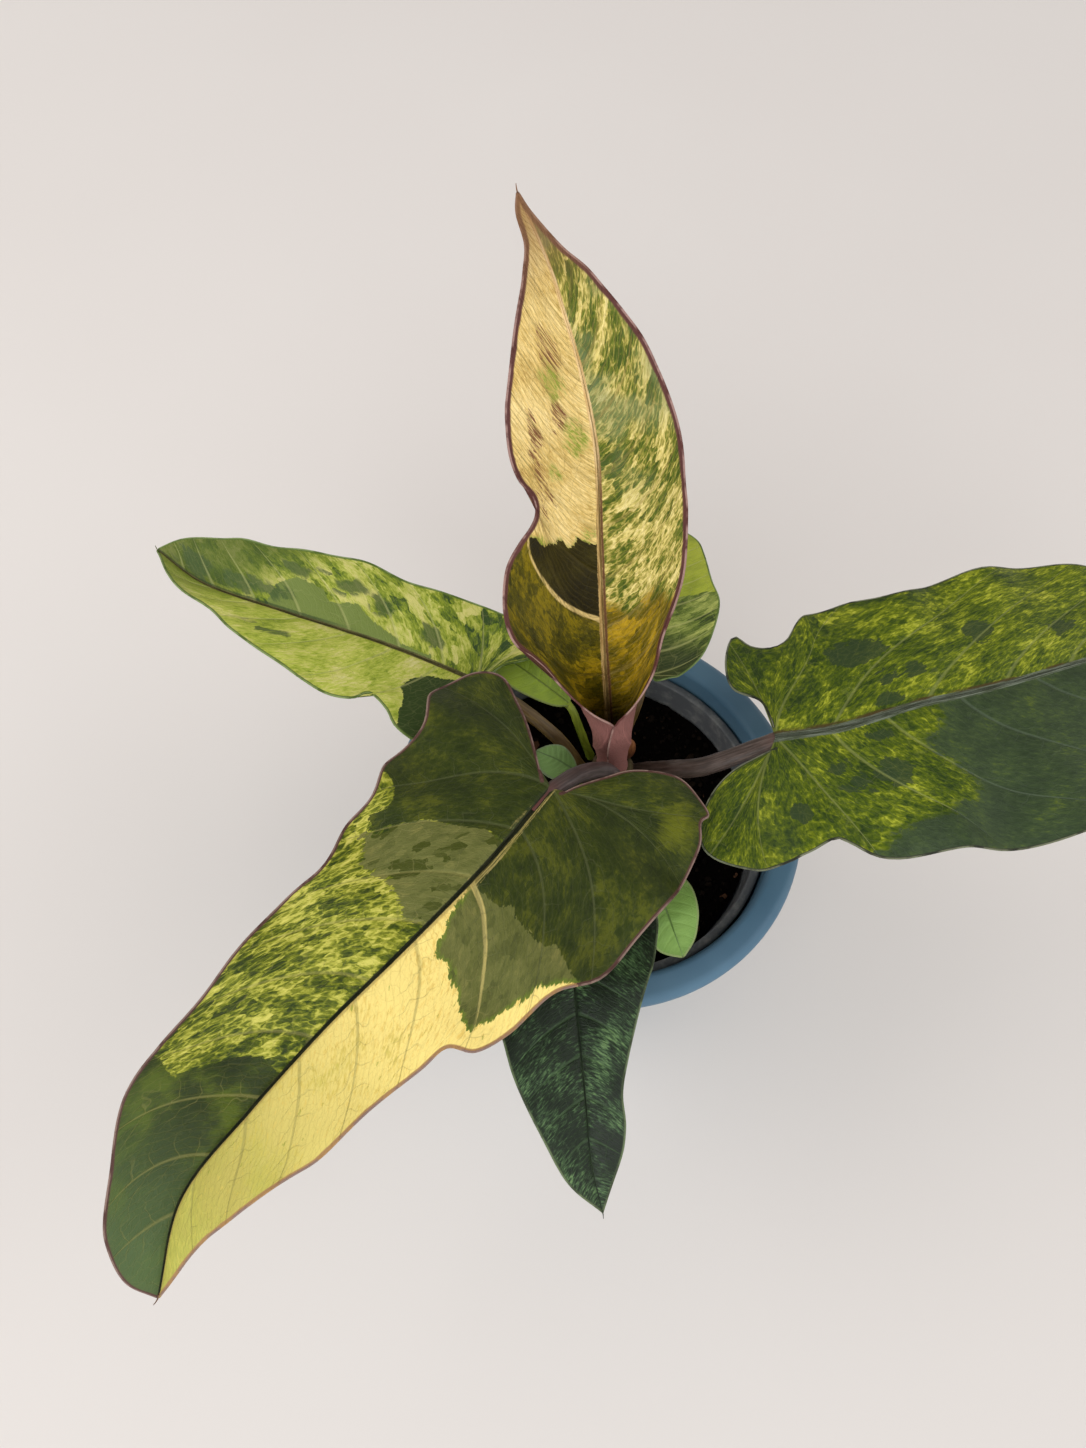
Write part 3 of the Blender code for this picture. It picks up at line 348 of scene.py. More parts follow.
def line_distance(x, y, line):
    """Each point's distance to a line through the given flat points."""
    best = np.full(np.shape(x), 1e9)
    for (ax, ay), (bx, by) in zip(line[:-1], line[1:]):
        dx, dy = bx - ax, by - ay
        t = np.clip(((x - ax) * dx + (y - ay) * dy) / (dx * dx + dy * dy + 1e-9), 0, 1)
        best = np.minimum(best, np.hypot(x - ax - t * dx, y - ay - t * dy))
    return best


def zone_depth(x, y, corners):
    """How far inside a zone each flat point lies, negative outside it."""
    loop = corners + corners[:1]
    inside = np.zeros(x.shape, bool)
    for (ax, ay), (bx, by) in zip(loop, loop[1:]):
        if ay != by:
            inside ^= ((ay > y) != (by > y)) & (x < ax + (y - ay) * (bx - ax) / (by - ay))
    return np.where(inside, 1.0, -1.0) * line_distance(x, y, loop)


def lumps(points, size, seed=0.0):
    """Smooth noise from about -1 to 1 at each point, with lumps of the given size."""
    return np.array([noise.noise(Vector((p[0] / size, p[1] / size, p[2] / size + seed))) for p in points])


def mesh_piece(name, points, faces, finish, replaced=None, extras=None, crease=60.0):
    """A visible piece from points in millimetres, with extra values at its points."""
    mesh = bpy.data.meshes.new(name)
    mesh.from_pydata((np.asarray(points, float) * MM).tolist(), [], faces)
    mesh.validate()
    mesh.shade_smooth()
    mesh.set_sharp_from_angle(angle=math.radians(crease))
    for key, values in (extras or {}).items():
        values = np.asarray(values, np.float32)
        kind, field = ("FLOAT_VECTOR", "vector") if values.ndim == 2 else ("FLOAT", "value")
        mesh.attributes.new(key, kind, "POINT").data.foreach_set(field, values.ravel())
    mesh.materials.append(finish)
    made = bpy.data.objects.new(name, mesh)
    bpy.context.collection.objects.link(made)
    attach(made, "root")
    if replaced:
        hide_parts(replaced)


class Nodes:
    """A node tree written as short expressions: each method gives back a node's socket."""

    def __init__(self, tree):
        self.tree = tree

    def put(self, socket, value):
        if isinstance(value, bpy.types.NodeSocket):
            self.tree.links.new(value, socket)
        elif value is None:
            return
        else:
            socket.default_value = (*value, 1.0) if socket.type == "RGBA" else value

    def node(self, kind, values, out=0, **settings):
        made = self.tree.nodes.new("ShaderNode" + kind)
        for key, value in settings.items():
            setattr(made, key, value)
        for slot, value in values.items():
            self.put(made.inputs[slot], value)
        return made.outputs[out]

    def value(self, name):
        return self.node("Attribute", {}, 2, attribute_name=name)

    def vector(self, name):
        return self.node("Attribute", {}, 1, attribute_name=name)

    def split(self, vector):
        return list(self.node("SeparateXYZ", {0: vector}).node.outputs)

    def math(self, operation, a, b=0.0):
        return self.node("Math", {0: a, 1: b}, operation=operation)

    def less(self, value):
        return self.math("SUBTRACT", 1.0, value)

    def times(self, *values):
        product = values[0]
        for value in values[1:]:
            product = self.math("MULTIPLY", product, value)
        return product

    def total(self, parts, start=0.0):
        """The start plus each part times its weight."""
        for value, weight in parts:
            start = self.node("Math", {0: value, 1: weight, 2: start}, operation="MULTIPLY_ADD")
        return start

    def scaled(self, vector, sizes):
        """The vector with each part divided by its size, or all by one size."""
        shares = tuple(1 / float(s) for s in np.broadcast_to(sizes, 3))
        return self.node("VectorMath", {0: vector, 1: shares}, operation="MULTIPLY")

    def place(self):
        """The point's place, in metres."""
        return self.node("TexCoord", {}, 3)

    def from_whole(self, value):
        """How far the value is from the nearest whole number."""
        return self.math("ABSOLUTE", self.math("SUBTRACT", value, self.math("ROUND", value)))

    def fade(self, value, low, high):
        """0 where the value is at low, 1 where it is at high, and smooth between."""
        return self.node("MapRange", {"Value": value, "From Min": low, "From Max": high},
                         interpolation_type="SMOOTHSTEP")

    def spread(self, value, low, high, to_low, to_high):
        return self.node("MapRange", {"Value": value, "From Min": low, "From Max": high,
                                      "To Min": to_low, "To Max": to_high})

    def mix(self, share, a, b):
        return self.node("Mix", {0: share, 6: a, 7: b}, 2, data_type="RGBA")

    def clouds(self, vector, sizes, detail=3.0, rough=0.55, bend=0.0):
        return self.node("TexNoise", {"Vector": self.scaled(vector, sizes), "Scale": 1.0, "Detail": detail,
                                      "Roughness": rough, "Distortion": bend})

    def cells(self, vector, sizes, feature="DISTANCE_TO_EDGE", out=0):
        return self.node("TexVoronoi", {"Vector": self.scaled(vector, sizes), "Scale": 1.0}, out,
                         feature=feature)

    def ramp(self, value, stops):
        """Colours at given values, blended between them."""
        made = self.node("ValToRGB", {0: value}).node
        line = made.color_ramp.elements
        while len(line) < len(stops):
            line.new(0.5)
        for element, (place, colour) in zip(line, stops):
            element.position = place
            element.color = (*colour, 1.0)
        return made.outputs[0]


class Paint(Nodes):
    """A material with a Principled shader."""

    def __init__(self, name, roughness=0.5, specular=0.3):
        self.material = bpy.data.materials.new(name)
        self.material.use_nodes = True
        super().__init__(self.material.node_tree)
        self.shader = self.tree.nodes["Principled BSDF"]
        self.put(self.shader.inputs["Roughness"], roughness)
        self.put(self.shader.inputs["Specular IOR Level"], specular)

    def finish(self, colour, height=None, roughness=None):
        """Joins the colour, a relief in millimetres and a roughness to the shader."""
        self.put(self.shader.inputs["Base Color"], colour)
        if height is not None:
            bump = self.node("Bump", {"Height": height, "Distance": MM, "Strength": 1.0})
            self.put(self.shader.inputs["Normal"], bump)
        self.put(self.shader.inputs["Roughness"], roughness)
        return self.material


class Leaf:
    """A leaf's bent surface and the keel of its midrib, as in the part."""

    def __init__(self, spec):
        self.curve = smooth_curve(spec["spine"], 24)
        self.run = run_of(self.curve)
        self.length = self.run[-1]
        heading = np.gradient(self.curve, self.run, axis=0)
        self.heading = heading / np.linalg.norm(heading, axis=1)[:, None]
        self.fold, self.cups = spec["fold"], (spec["cup_right"], spec["cup_left"])
        self.keel, self.waves, self.rib = spec["keel"], spec["waves"], spec["rib"]
        self.face = np.asarray(spec.get("face", (0, 0, 1)), float)

    def frame(self, x):
        """The spine's point at x, its direction, the direction to the right, and the upper normal."""
        held = np.clip(x, 0, self.length)
        point = np.stack([np.interp(held, self.run, c) for c in self.curve.T], -1)
        ahead = np.stack([np.interp(held, self.run, c) for c in self.heading.T], -1)
        ahead /= np.linalg.norm(ahead, axis=-1, keepdims=True)
        aside = np.cross(ahead, self.face)
        aside /= np.linalg.norm(aside, axis=-1, keepdims=True)
        point = point + ahead * np.minimum(x, 0)[..., None]
        return point, ahead, aside, np.cross(aside, ahead)

    def surface(self, x, y):
        """Points on the upper face at the flat leaf's x and y, and the normals there."""
        point, _, aside, up = self.frame(x)
        share, side, out = x / self.length, np.where(y < 0, -1.0, 1.0), np.abs(y)
        lift = np.radians(along(self.fold, share))
        curl = np.where(y < 0, along(self.cups[1], share), along(self.cups[0], share))
        curl = np.radians(np.where(np.abs(curl) < 1e-4, 1e-4, curl))
        across = (np.sin(lift + curl * out) - np.sin(lift)) / curl
        rise = (np.cos(lift) - np.cos(lift + curl * out)) / curl
        size, period = self.waves
        wave = np.sin(2 * np.pi * x / period + WAVE_TURN * side)
        rise = rise + size * (out / WAVE_REACH) ** 2 * wave
        turn = np.where(out > 0, lift + curl * out, 0.0)
        normal = up * np.cos(turn)[..., None] - aside * (side * np.sin(turn))[..., None]
        return point + aside * (side * across)[..., None] + up * rise[..., None], normal

    def keel_depth(self, x, y):
        """How far the midrib's keel stands out below the blade."""
        away = np.hypot(y, np.minimum(x, 0))
        fade = np.clip(1 - x / self.length, 0, 1) ** KEEL_FADE
        return self.keel * fade * np.exp(-(away / KEEL_HALF_WIDTH) ** 2)


def spread_veins(edge, length, fan, ribs):
    """Veins for a leaf without chosen ones: a fan into the lobe and then even steps to the tip."""
    curve = smooth_curve(edge, 12)
    run = run_of(curve)
    reach = np.maximum.accumulate(curve[:, 0] - VEIN_LEAN * curve[:, 1])
    turn = run[np.flatnonzero(reach <= 0)[-1]]
    even = length * np.clip((run - turn) / (run[-1] - turn), 0, 1)
    reach = (1 - VEIN_EVENNESS) * np.clip(reach, 0, length) + VEIN_EVENNESS * even
    starts = np.concatenate([np.zeros(fan), np.linspace(0, length, ribs + 1)[1:-1]])
    stops = np.concatenate([np.linspace(0, turn, fan + 1)[1:], np.interp(starts[fan:], reach, run)])
    veins = []
    for start, stop in zip(starts, stops):
        end_x, end_y = (float(np.interp(stop, run, c)) for c in curve.T)
        veins.append((start, start + VEIN_BEND[0] * (end_x - start), end_x, end_y))
    return veins


def half_grid(edge, veins, length, stations, fan_rows, v):
    """One half's rows, which lie between its veins: their points, vein phases and vein spacings.

    The first vein line follows the sinus, and the last one is the tip.
    """
    curve = smooth_curve(edge, 24)
    run = run_of(curve)
    far = int(np.argmin(curve[:, 0]))
    back = np.vstack([(0.0, 0.0), curve[:far + 1]])
    back_run = run_of(back)
    lines = [np.stack([np.interp(v * back_run[-1], back_run, c) for c in back.T], 1)]
    starts, stops = [0.0], [run[far]]
    t = v[:, None]
    for start, bend, end_x, end_y in veins:
        nearest = np.argmin(np.hypot(curve[:, 0] - end_x, curve[:, 1] - end_y))
        root, middle = np.array([start, 0.0]), np.array([bend, VEIN_BEND[1] * curve[nearest, 1]])
        lines.append((1 - t) ** 2 * root + 2 * t * (1 - t) * middle + t ** 2 * curve[nearest])
        starts.append(start)
        stops.append(run[nearest])
    lines.append(np.tile((length, 0.0), (len(v), 1)))
    starts.append(length)
    stops.append(run[-1])
    last_fan = max(k for k, start in enumerate(starts) if start == 0)
    widths = [np.minimum(line_distance(high[:, 0], high[:, 1], low), WIDEST_VEIN_GAP)
              for low, high in zip(lines, lines[1:])]
    fan = np.linspace(0, last_fan, fan_rows, endpoint=False)
    phases = np.concatenate([fan, np.interp(stations, starts[last_fan:], range(last_fan, len(starts)))])
    rows, gaps = [], []
    for phase in phases:
        k = min(int(phase), len(lines) - 2)
        w = phase - k
        stop = np.interp(phase, range(len(stops)), stops)
        end = np.array([np.interp(stop, run, c) for c in curve.T])
        bulge = end - (1 - w) * lines[k][-1] - w * lines[k + 1][-1]
        rows.append((1 - w) * lines[k] + w * lines[k + 1] + bulge * t ** 2)
        gaps.append(widths[k])
    return np.array(rows), phases, np.array(gaps)


def blade_grid(leaf, spec, size):
    """The flat blade: its points, what each knows of its vein, its faces, its two rims and its tip.

    What a point knows is its phase between the veins, their spacing, its way out along the vein and
    that way's share of the whole.
    """
    columns = int(FEWEST_COLUMNS + (COLUMNS - FEWEST_COLUMNS) * size)
    step = STATION_STEP * (0.5 + 0.5 * size)
    edges = (spec["right_edge"], spec["left_edge"])
    veins = [spec.get(key) or spread_veins(edge, leaf.length, 2, 8)
             for key, edge in zip(("veins_right", "veins_left"), edges)]
    even = np.linspace(0, leaf.length, int(leaf.length / step))
    stations = np.unique(np.concatenate([even] + [[v[0] for v in table] for table in veins]).round(3))
    s = np.linspace(0, 1, columns)
    v = 0.5 * s + 0.25 * (1 - np.cos(np.pi * s))
    fan_rows = int(FAN_ROWS * size) + 6
    flat = [(station, 0.0) for station in stations]
    data = [(0.0, 0.0, 0.0, 0.0)] * len(flat)
    faces, rims = [], []
    for side, edge, table in zip((1, -1), edges, veins):
        rows, phases, gaps = half_grid(edge, table, leaf.length, stations, fan_rows, v)
        out = np.array([run_of(row) for row in rows])
        index = np.empty(rows.shape[:2], int)
        for row in range(len(rows)):
            for column in range(columns):
                if column == 0 or row == len(rows) - 1:
                    index[row, column] = max(0, row - fan_rows)
                    continue
                index[row, column] = len(flat)
                x, y = rows[row, column]
                flat.append((x, side * y))
                data.append((phases[row], gaps[row, column], out[row, column], v[column]))
        for row in range(len(rows) - 1):
            for column in range(columns - 1):
                ring = (index[row, column], index[row + 1, column],
                        index[row + 1, column + 1], index[row, column + 1])
                face = tuple(dict.fromkeys(ring))
                if len(face) > 2:
                    faces.append(face[::-side])
        beyond = [i for i, point in zip(index[0], rows[0]) if point[1] > edge[0][1]]
        rims.append(beyond + list(index[1:, -1]))
    return np.array(flat), np.array(data), faces, rims, len(stations) - 1


def zone_depths(name, x, y):
    """How far inside each of a leaf's colour zones, pale veins and blotches its flat points lie."""
    depths = {key: zone_depth(x, y, corners) for key, corners in ZONES.get(name, {}).items()}
    if name in PALE_VEINS:
        route = smooth_curve(PALE_VEINS[name], 8)
        ends = np.hypot(x - route[0, 0], y - route[0, 1]) / run_of(route)[-1]
        depths["vein"] = 0.75 * (1.1 - ends) - line_distance(x, y, route)
    for key, spots in BLOTCHES.get(name, {}).items():
        depth = [(1 - np.hypot((x - cx) / rx, (y - cy) / ry)) * min(rx, ry) for cx, cy, rx, ry in spots]
        depths[key] = np.maximum(np.max(depth, 0), -6)
    return depths


def make_leaf(name, spec, finish):
    """A fine blade that follows its veins: two faces with relief, joined round a beaded edge."""
    leaf = Leaf(spec)
    size = min(1.0, leaf.length / FULL_SIZE)
    flat, data, faces, rims, tip_index = blade_grid(leaf, spec, size)
    x, y = flat.T
    phase, gap, out, share = data.T
    lines = [smooth_curve(np.array(spec[edge], float) * (1, side), 12)
             for edge, side in (("right_edge", 1), ("left_edge", -1))]
    margin = np.minimum(line_distance(x, y, lines[0]), line_distance(x, y, lines[1]))
    from_vein = np.abs(phase - np.round(phase)) * gap
    near = np.exp(-(from_vein / VEIN_GROOVE) ** 2) * (1 - share) * np.clip(np.abs(y) / 2, 0, 1)
    height, width = leaf.rib
    fade = np.clip(RIB_FADE_START - x / leaf.length, 0, 1) ** RIB_FADE_POWER
    rib = height * fade * np.exp(-(np.hypot(y, np.minimum(x, 0)) / width) ** 2)
    inner = np.clip(margin / QUILT_MARGIN, 0, 1) * np.clip(np.abs(y) / QUILT_RIB, 0, 1)
    base, normal = leaf.surface(x, y)
    quilt = QUILT * (1 - np.exp(-(from_vein / QUILT_REACH) ** 2)) + SWELL * lumps(base, SWELL_SIZE)
    quilt *= size * inner
    upper = base + normal * (rib - GROOVE_TOP * near + quilt)[:, None]
    lower = base + normal * (quilt - BLADE - GROOVE_BELOW * near - leaf.keel_depth(x, y))[:, None]
    count = len(x)
    points = np.vstack([upper, lower])
    inner_edges = {(a, b) for f in faces for a, b in zip(f, f[1:] + f[:1])}
    walls = [(b, a, a + count, b + count) for a, b in sorted(inner_edges) if (b, a) not in inner_edges]
    under = [tuple(i + count for i in reversed(f)) for f in faces]
    rim = np.array(rims[0] + rims[1][-2::-1])
    course = (upper[rim] + lower[rim]) / 2
    apart = np.append(True, np.linalg.norm(np.diff(course, axis=0), axis=1) > 0.01)
    rim, course = rim[apart], course[apart]
    bead, bead_faces = tube(course, BEAD_RADIUS * (0.6 + 0.4 * size), len(points))
    tip, ahead, aside, up = (part[0] for part in leaf.frame(np.array([leaf.length])))
    steps = np.linspace(-1.0, HOOK * size, HOOK_RINGS)[:, None]
    hook = tip - up * BLADE / 2 + ahead * steps + (up + 0.5 * aside) * (np.maximum(steps, 0) / HOOK) ** 2
    hook, hook_faces = tube(hook, np.linspace(*HOOK_RADII, HOOK_RINGS) * size, len(points) + len(bead))
    whole = np.concatenate([np.arange(2 * count) % count, np.repeat(rim, BEAD_SIDES),
                            np.full(len(hook), tip_index)])
    extras = {"flat": np.stack([x, y, x * 0], 1)[whole],
              "grain": np.stack([phase * 17.0, out, np.sign(y) * 40], 1)[whole],
              "vein": np.stack([phase, gap, share], 1)[whole],
              "margin": np.concatenate([margin, margin, np.zeros(len(bead)), np.full(len(hook), 0.5)]),
              "under": np.repeat((0.0, 1.0, 0.3), (count, count, len(bead) + len(hook)))}
    for key, depth in zone_depths(name, x, y).items():
        extras["zone_" + key] = depth[whole]
    mesh_piece("leaf_" + name, np.vstack([points, bead, hook]),
               faces + walls + under + bead_faces + hook_faces, finish, "blade_" + name, extras)


def ring_faces(rings, sides, first=0):
    """The faces of a skin over a row of rings, whose points count from first."""
    faces = []
    for row in range(rings - 1):
        low = first + row * sides
        for k in range(sides):
            after = (k + 1) % sides
            faces.append((low + k, low + after, low + after + sides, low + k + sides))
    return faces


def tube(path, radius, first):
    """A round tube with closed ends along a path, as points and faces that count from first."""
    path = np.asarray(path, float)
    sizes = np.broadcast_to(radius, len(path))
    ahead = np.gradient(path, axis=0)
    ahead /= np.linalg.norm(ahead, axis=1)[:, None] + 1e-12
    side = np.cross(ahead[0], (0.1, 0.2, 1.0))
    points = []
    for centre, direction, size in zip(path, ahead, sizes):
        side = side - direction * np.dot(side, direction)
        side /= np.linalg.norm(side)
        top = np.cross(side, direction)
        for k in range(BEAD_SIDES):
            turn = 2 * math.pi * k / BEAD_SIDES
            points.append(centre + size * (side * math.cos(turn) + top * math.sin(turn)))
    faces = [tuple(first + k for k in range(BEAD_SIDES))]
    faces += [(a, d, c, b) for a, b, c, d in ring_faces(len(path), BEAD_SIDES, first)]
    last = first + (len(path) - 1) * BEAD_SIDES
    faces.append(tuple(last + k for k in reversed(range(BEAD_SIDES))))
    return np.array(points), faces


def turned(profile, segments, ripple=None):
    """Points and faces of a solid turned round Z from a profile that starts and ends on the axis."""
    points = [(0.0, 0.0, profile[0][1]), (0.0, 0.0, profile[-1][1])]
    rings = profile[1:-1]
    for radius, height in rings:
        for k in range(segments):
            turn = 2 * math.pi * k / segments
            x, y = radius * math.cos(turn), radius * math.sin(turn)
            points.append((x, y, height + (ripple(x, y, height) if ripple else 0.0)))
    faces = ring_faces(len(rings), segments, 2)
    last = 2 + (len(rings) - 1) * segments
    for k in range(segments):
        after = (k + 1) % segments
        faces += [(0, 2 + after, 2 + k), (1, last + k, last + after)]
    return np.array(points), faces


def corner(radius, height, size, start, end, steps=8):
    """A rounded corner of a profile: an arc about (radius, height) between two angles in degrees."""
    turns = [math.radians(start + (end - start) * k / steps) for k in range(steps + 1)]
    return [(radius + size * math.cos(t), height + size * math.sin(t)) for t in turns]


def make_pot():
    """The outer pot: a tapered tub with a broad soft rim and a slightly raised underside."""
    foot, lip_out, lip_in = POT_ROUNDINGS
    rim_inner, inner_base = POT_TOP_RADIUS - POT_RIM_WIDTH, POT_BASE_RADIUS - POT_WALL
    profile = list(POT_UNDERSIDE)
    profile += corner(POT_BASE_RADIUS - foot, foot, foot, -90, -10)
    profile += corner(POT_TOP_RADIUS - lip_out, POT_HEIGHT - lip_out, lip_out, -10, 90)
    profile += corner(rim_inner + lip_in, POT_HEIGHT - lip_in, lip_in, 90, 180)
    profile += [(rim_inner, POT_HEIGHT - POT_RIM_DEPTH), (inner_base, POT_FLOOR), (0, POT_FLOOR)]
    points, faces = turned(profile, TURNED_SEGMENTS)
    p = Paint("pot_blue", 0.46, 0.3)
    where = p.place()
    grit = p.clouds(where, 0.0005, 3)
    cast = p.clouds(where, 0.03, 2)
    colour = p.mix(p.fade(cast, 0.3, 0.7), (0.070, 0.145, 0.215), (0.092, 0.180, 0.255))
    height = p.times(grit, 0.03)
    rough = p.spread(p.clouds(where, 0.004, 4), 0.3, 0.7, 0.40, 0.54)
    mesh_piece("outer_pot", points, faces, p.finish(colour, height, rough), "pot")


def make_nursery_pot():
    """The thin grower's pot with its lip; its floor is closed here, since the soil hides it."""
    base = POT_FLOOR + GAP
    floor = base + NURSERY_WALL
    step = NURSERY_TOP - NURSERY_LIP_DEPTH
    outer, inner = NURSERY_LIP_ROUNDINGS
    lip_inner = NURSERY_LIP_RADIUS - NURSERY_LIP_WALL
    profile = [(0, base), (NURSERY_BASE_RADIUS, base), (NURSERY_BODY_RADIUS, step),
               (NURSERY_LIP_RADIUS, step + outer)]
    profile += corner(NURSERY_LIP_RADIUS - outer, NURSERY_TOP - outer, outer, 0, 90)
    profile += corner(lip_inner + inner, NURSERY_TOP - inner, inner, 90, 180)
    profile += [(lip_inner, step), (NURSERY_BODY_RADIUS - NURSERY_WALL, step - NURSERY_WALL),
                (NURSERY_BASE_RADIUS - NURSERY_WALL, floor), (0, floor)]
    points, faces = turned(profile, TURNED_SEGMENTS)
    p = Paint("nursery_charcoal", 0.5, 0.3)
    where = p.place()
    dust = p.fade(p.clouds(where, 0.006, 4, 0.65), 0.45, 0.75)
    colour = p.mix(dust, (0.11, 0.113, 0.118), (0.22, 0.215, 0.205))
    height = p.times(p.clouds(where, 0.0006, 3), 0.04)
    mesh_piece("grower_pot", points, faces, p.finish(colour, height), "nursery_pot")


def soil_height(x, y):
    """The uneven top of the soil, which rises a little round the stem."""
    near = ((x - STEM_CENTRE[0]) ** 2 + (y - STEM_CENTRE[1]) ** 2) / SOIL_MOUND_SPREAD
    total = SOIL_MOUND * math.exp(-near)
    for size, weight in SOIL_LUMPS:
        total += weight * noise.noise(Vector((x / size, y / size, size)))
    return SOIL_LEVEL + total


def make_soil():
    """A crumbly soil top with loose crumbs and bark on it, which closes round what stands in it."""
    rng = np.random.default_rng(SEED)
    base = POT_FLOOR + GAP + NURSERY_WALL + GAP
    slope = (NURSERY_BODY_RADIUS - NURSERY_BASE_RADIUS) / (NURSERY_TOP - NURSERY_LIP_DEPTH - POT_FLOOR)

    def inner(height):
        return NURSERY_BASE_RADIUS + slope * (height - POT_FLOOR) - NURSERY_WALL - 2 * GAP

    edge, rings = inner(SOIL_LEVEL), SOIL_RINGS
    profile = [(0, base), (inner(base), base), (inner(SOIL_LEVEL - SOIL_SHOULDER), SOIL_LEVEL - SOIL_SHOULDER)]
    profile += [(edge * k / rings, SOIL_LEVEL) for k in range(rings, 0, -1)] + [(0, SOIL_LEVEL)]
    points, faces = turned(profile, TURNED_SEGMENTS)
    top = points[:, 2] >= SOIL_LEVEL
    points[top, 2] = [soil_height(x, y) for x, y, _ in points[top]]
    tone = np.zeros(len(points))
    ball = icosphere()
    all_points, all_faces, all_tones = [points], list(faces), [tone]
    count = len(points)
    for _ in range(CRUMBS):
        away, turn = edge * CRUMB_REACH * math.sqrt(rng.random()), rng.random() * 2 * math.pi
        x, y = away * math.cos(turn), away * math.sin(turn)
        if math.hypot(x - STEM_CENTRE[0], y - STEM_CENTRE[1]) < STEM_RADIUS:
            continue
        size = CRUMB_SMALLEST + CRUMB_RANGE * rng.random() ** 3
        chip = rng.random() < CHIP_SHARE
        shape = CHIP_SHAPE if chip else CRUMB_SHAPE
        turns = Matrix.Rotation(rng.random() * 6.3, 3, "Z") @ Matrix.Rotation(rng.normal() * 0.5, 3, "X")
        bits = ball[0] * (1 + 0.35 * (rng.random((len(ball[0]), 1)) - 0.5)) * shape * size
        bits = bits @ np.array(turns).T + (x, y, soil_height(x, y) + CRUMB_LIFT * size)
        all_points.append(bits)
        all_faces += [tuple(count + i for i in f) for f in ball[1]]
        all_tones.append(np.full(len(bits), rng.random() * 0.75 + (0.25 if chip else 0.0)))
        count += len(bits)
    p = Paint("soil_mix", 0.95, 0.03)
    where = p.place()
    speck = p.clouds(where, 0.0012, 5, 0.7)
    tone = p.math("ADD", p.value("tone"), p.times(speck, 0.25))
    colour = p.ramp(tone, ((0.05, (0.0014, 0.0010, 0.0008)), (0.62, (0.005, 0.0034, 0.0026)),
                           (0.93, (0.014, 0.009, 0.006)), (1.0, (0.085, 0.040, 0.022))))
    height = p.times(speck, 0.35)
    mesh_piece("potting_soil", np.vstack(all_points), all_faces, p.finish(colour, height), "soil",
               {"tone": np.concatenate(all_tones)}, 35.0)


def icosphere():
    """The points and faces of a ball with twenty faces."""
    g = (1 + 5 ** 0.5) / 2
    points = [(-1, g, 0), (1, g, 0), (-1, -g, 0), (1, -g, 0), (0, -1, g), (0, 1, g), (0, -1, -g), (0, 1, -g),
              (g, 0, -1), (g, 0, 1), (-g, 0, -1), (-g, 0, 1)]
    points = np.array(points) / math.hypot(1, g)
    faces = [(a, b, c) for a in range(12) for b in range(a + 1, 12) for c in range(b + 1, 12)
             if max(np.linalg.norm(points[i] - points[j]) for i, j in ((a, b), (b, c), (a, c))) < 1.1]
    faces = [f if np.dot(np.cross(points[f[1]] - points[f[0]], points[f[2]] - points[f[0]]), points[f[0]]) > 0
             else f[::-1] for f in faces]
    return points, faces


def make_stem():
    foot, waist = 4 * STEM_SCAR_DEPTH, STEM_RADIUS - STEM_SCAR_DEPTH
    profile = [(0, STEM_FOOT), (STEM_RADIUS - foot, STEM_FOOT), (waist, STEM_FOOT + foot),
               (waist, STEM_RING)]
    for scar in STEM_SCARS:
        profile += [(waist, scar), (STEM_RADIUS - 0.1, scar + 0.4),
                    (STEM_RADIUS, scar + STEM_SCAR_HEIGHT / 2),
                    (STEM_RADIUS - 0.1, scar + 1.2), (waist, scar + STEM_SCAR_HEIGHT)]
    profile += corner(waist - 1, STEM_TOP - 1, 1.0, 0, 90)
    profile += [(0, STEM_TOP)]
    points, faces = turned(profile, STEM_SEGMENTS)
    sway = [lumps(points, 4.0, 3.0), lumps(points, 4.0, 9.0), points[:, 0] * 0]
    points += np.stack(sway, 1) * STEM_LUMPS
    points += (*STEM_CENTRE, 0)
    p = Paint("stem_bark", 0.7, 0.2)
    where = p.place()
    grain = p.clouds(where, (0.002, 0.002, 0.0006), 5, 0.65)
    colour = p.ramp(grain, ((0.35, (0.045, 0.028, 0.015)), (0.55, (0.12, 0.085, 0.04)),
                            (0.7, (0.16, 0.14, 0.06))))
    mesh_piece("stem_bark", points, faces, p.finish(colour, p.times(grain, 0.4)), "stem")


def make_bud():
    low = STEM_TOP + GAP
    outline = smooth_curve(BUD_SHAPE, 6)
    profile = [(0, low)] + [(BUD_RADIUS * r, low + BUD_HEIGHT * h) for h, r in outline]
    profile += [(0, low + BUD_HEIGHT)]
    points, faces = turned(profile, BUD_SEGMENTS)
    points += (*BUD_FOOT, 0)
    p = Paint("bud_orange", 0.45, 0.35)
    where = p.place()
    grain = p.clouds(where, (0.0009, 0.0009, 0.006), 3)
    _, _, z = p.split(where)
    share = p.fade(z, (low + 2) * MM, (low + BUD_HEIGHT) * MM)
    colour = p.mix(share, (0.11, 0.035, 0.015), (0.34, 0.125, 0.040))
    colour = p.mix(p.fade(grain, 0.45, 0.7), colour, (0.16, 0.050, 0.020))
    mesh_piece("shoot_bud", points, faces, p.finish(colour, p.times(grain, 0.2)), "bud")


def stem_entry(point, direction):
    """How far to go from a point, along the direction, to the spot where it comes clear of the stem."""
    px, py = point[0] - STEM_CENTRE[0], point[1] - STEM_CENTRE[1]
    a = direction[0] ** 2 + direction[1] ** 2
    b = 2 * (px * direction[0] + py * direction[1])
    c = px ** 2 + py ** 2 - (STEM_RADIUS - 1.0) ** 2
    return (-b + math.sqrt(b * b - 4 * a * c)) / (2 * a)


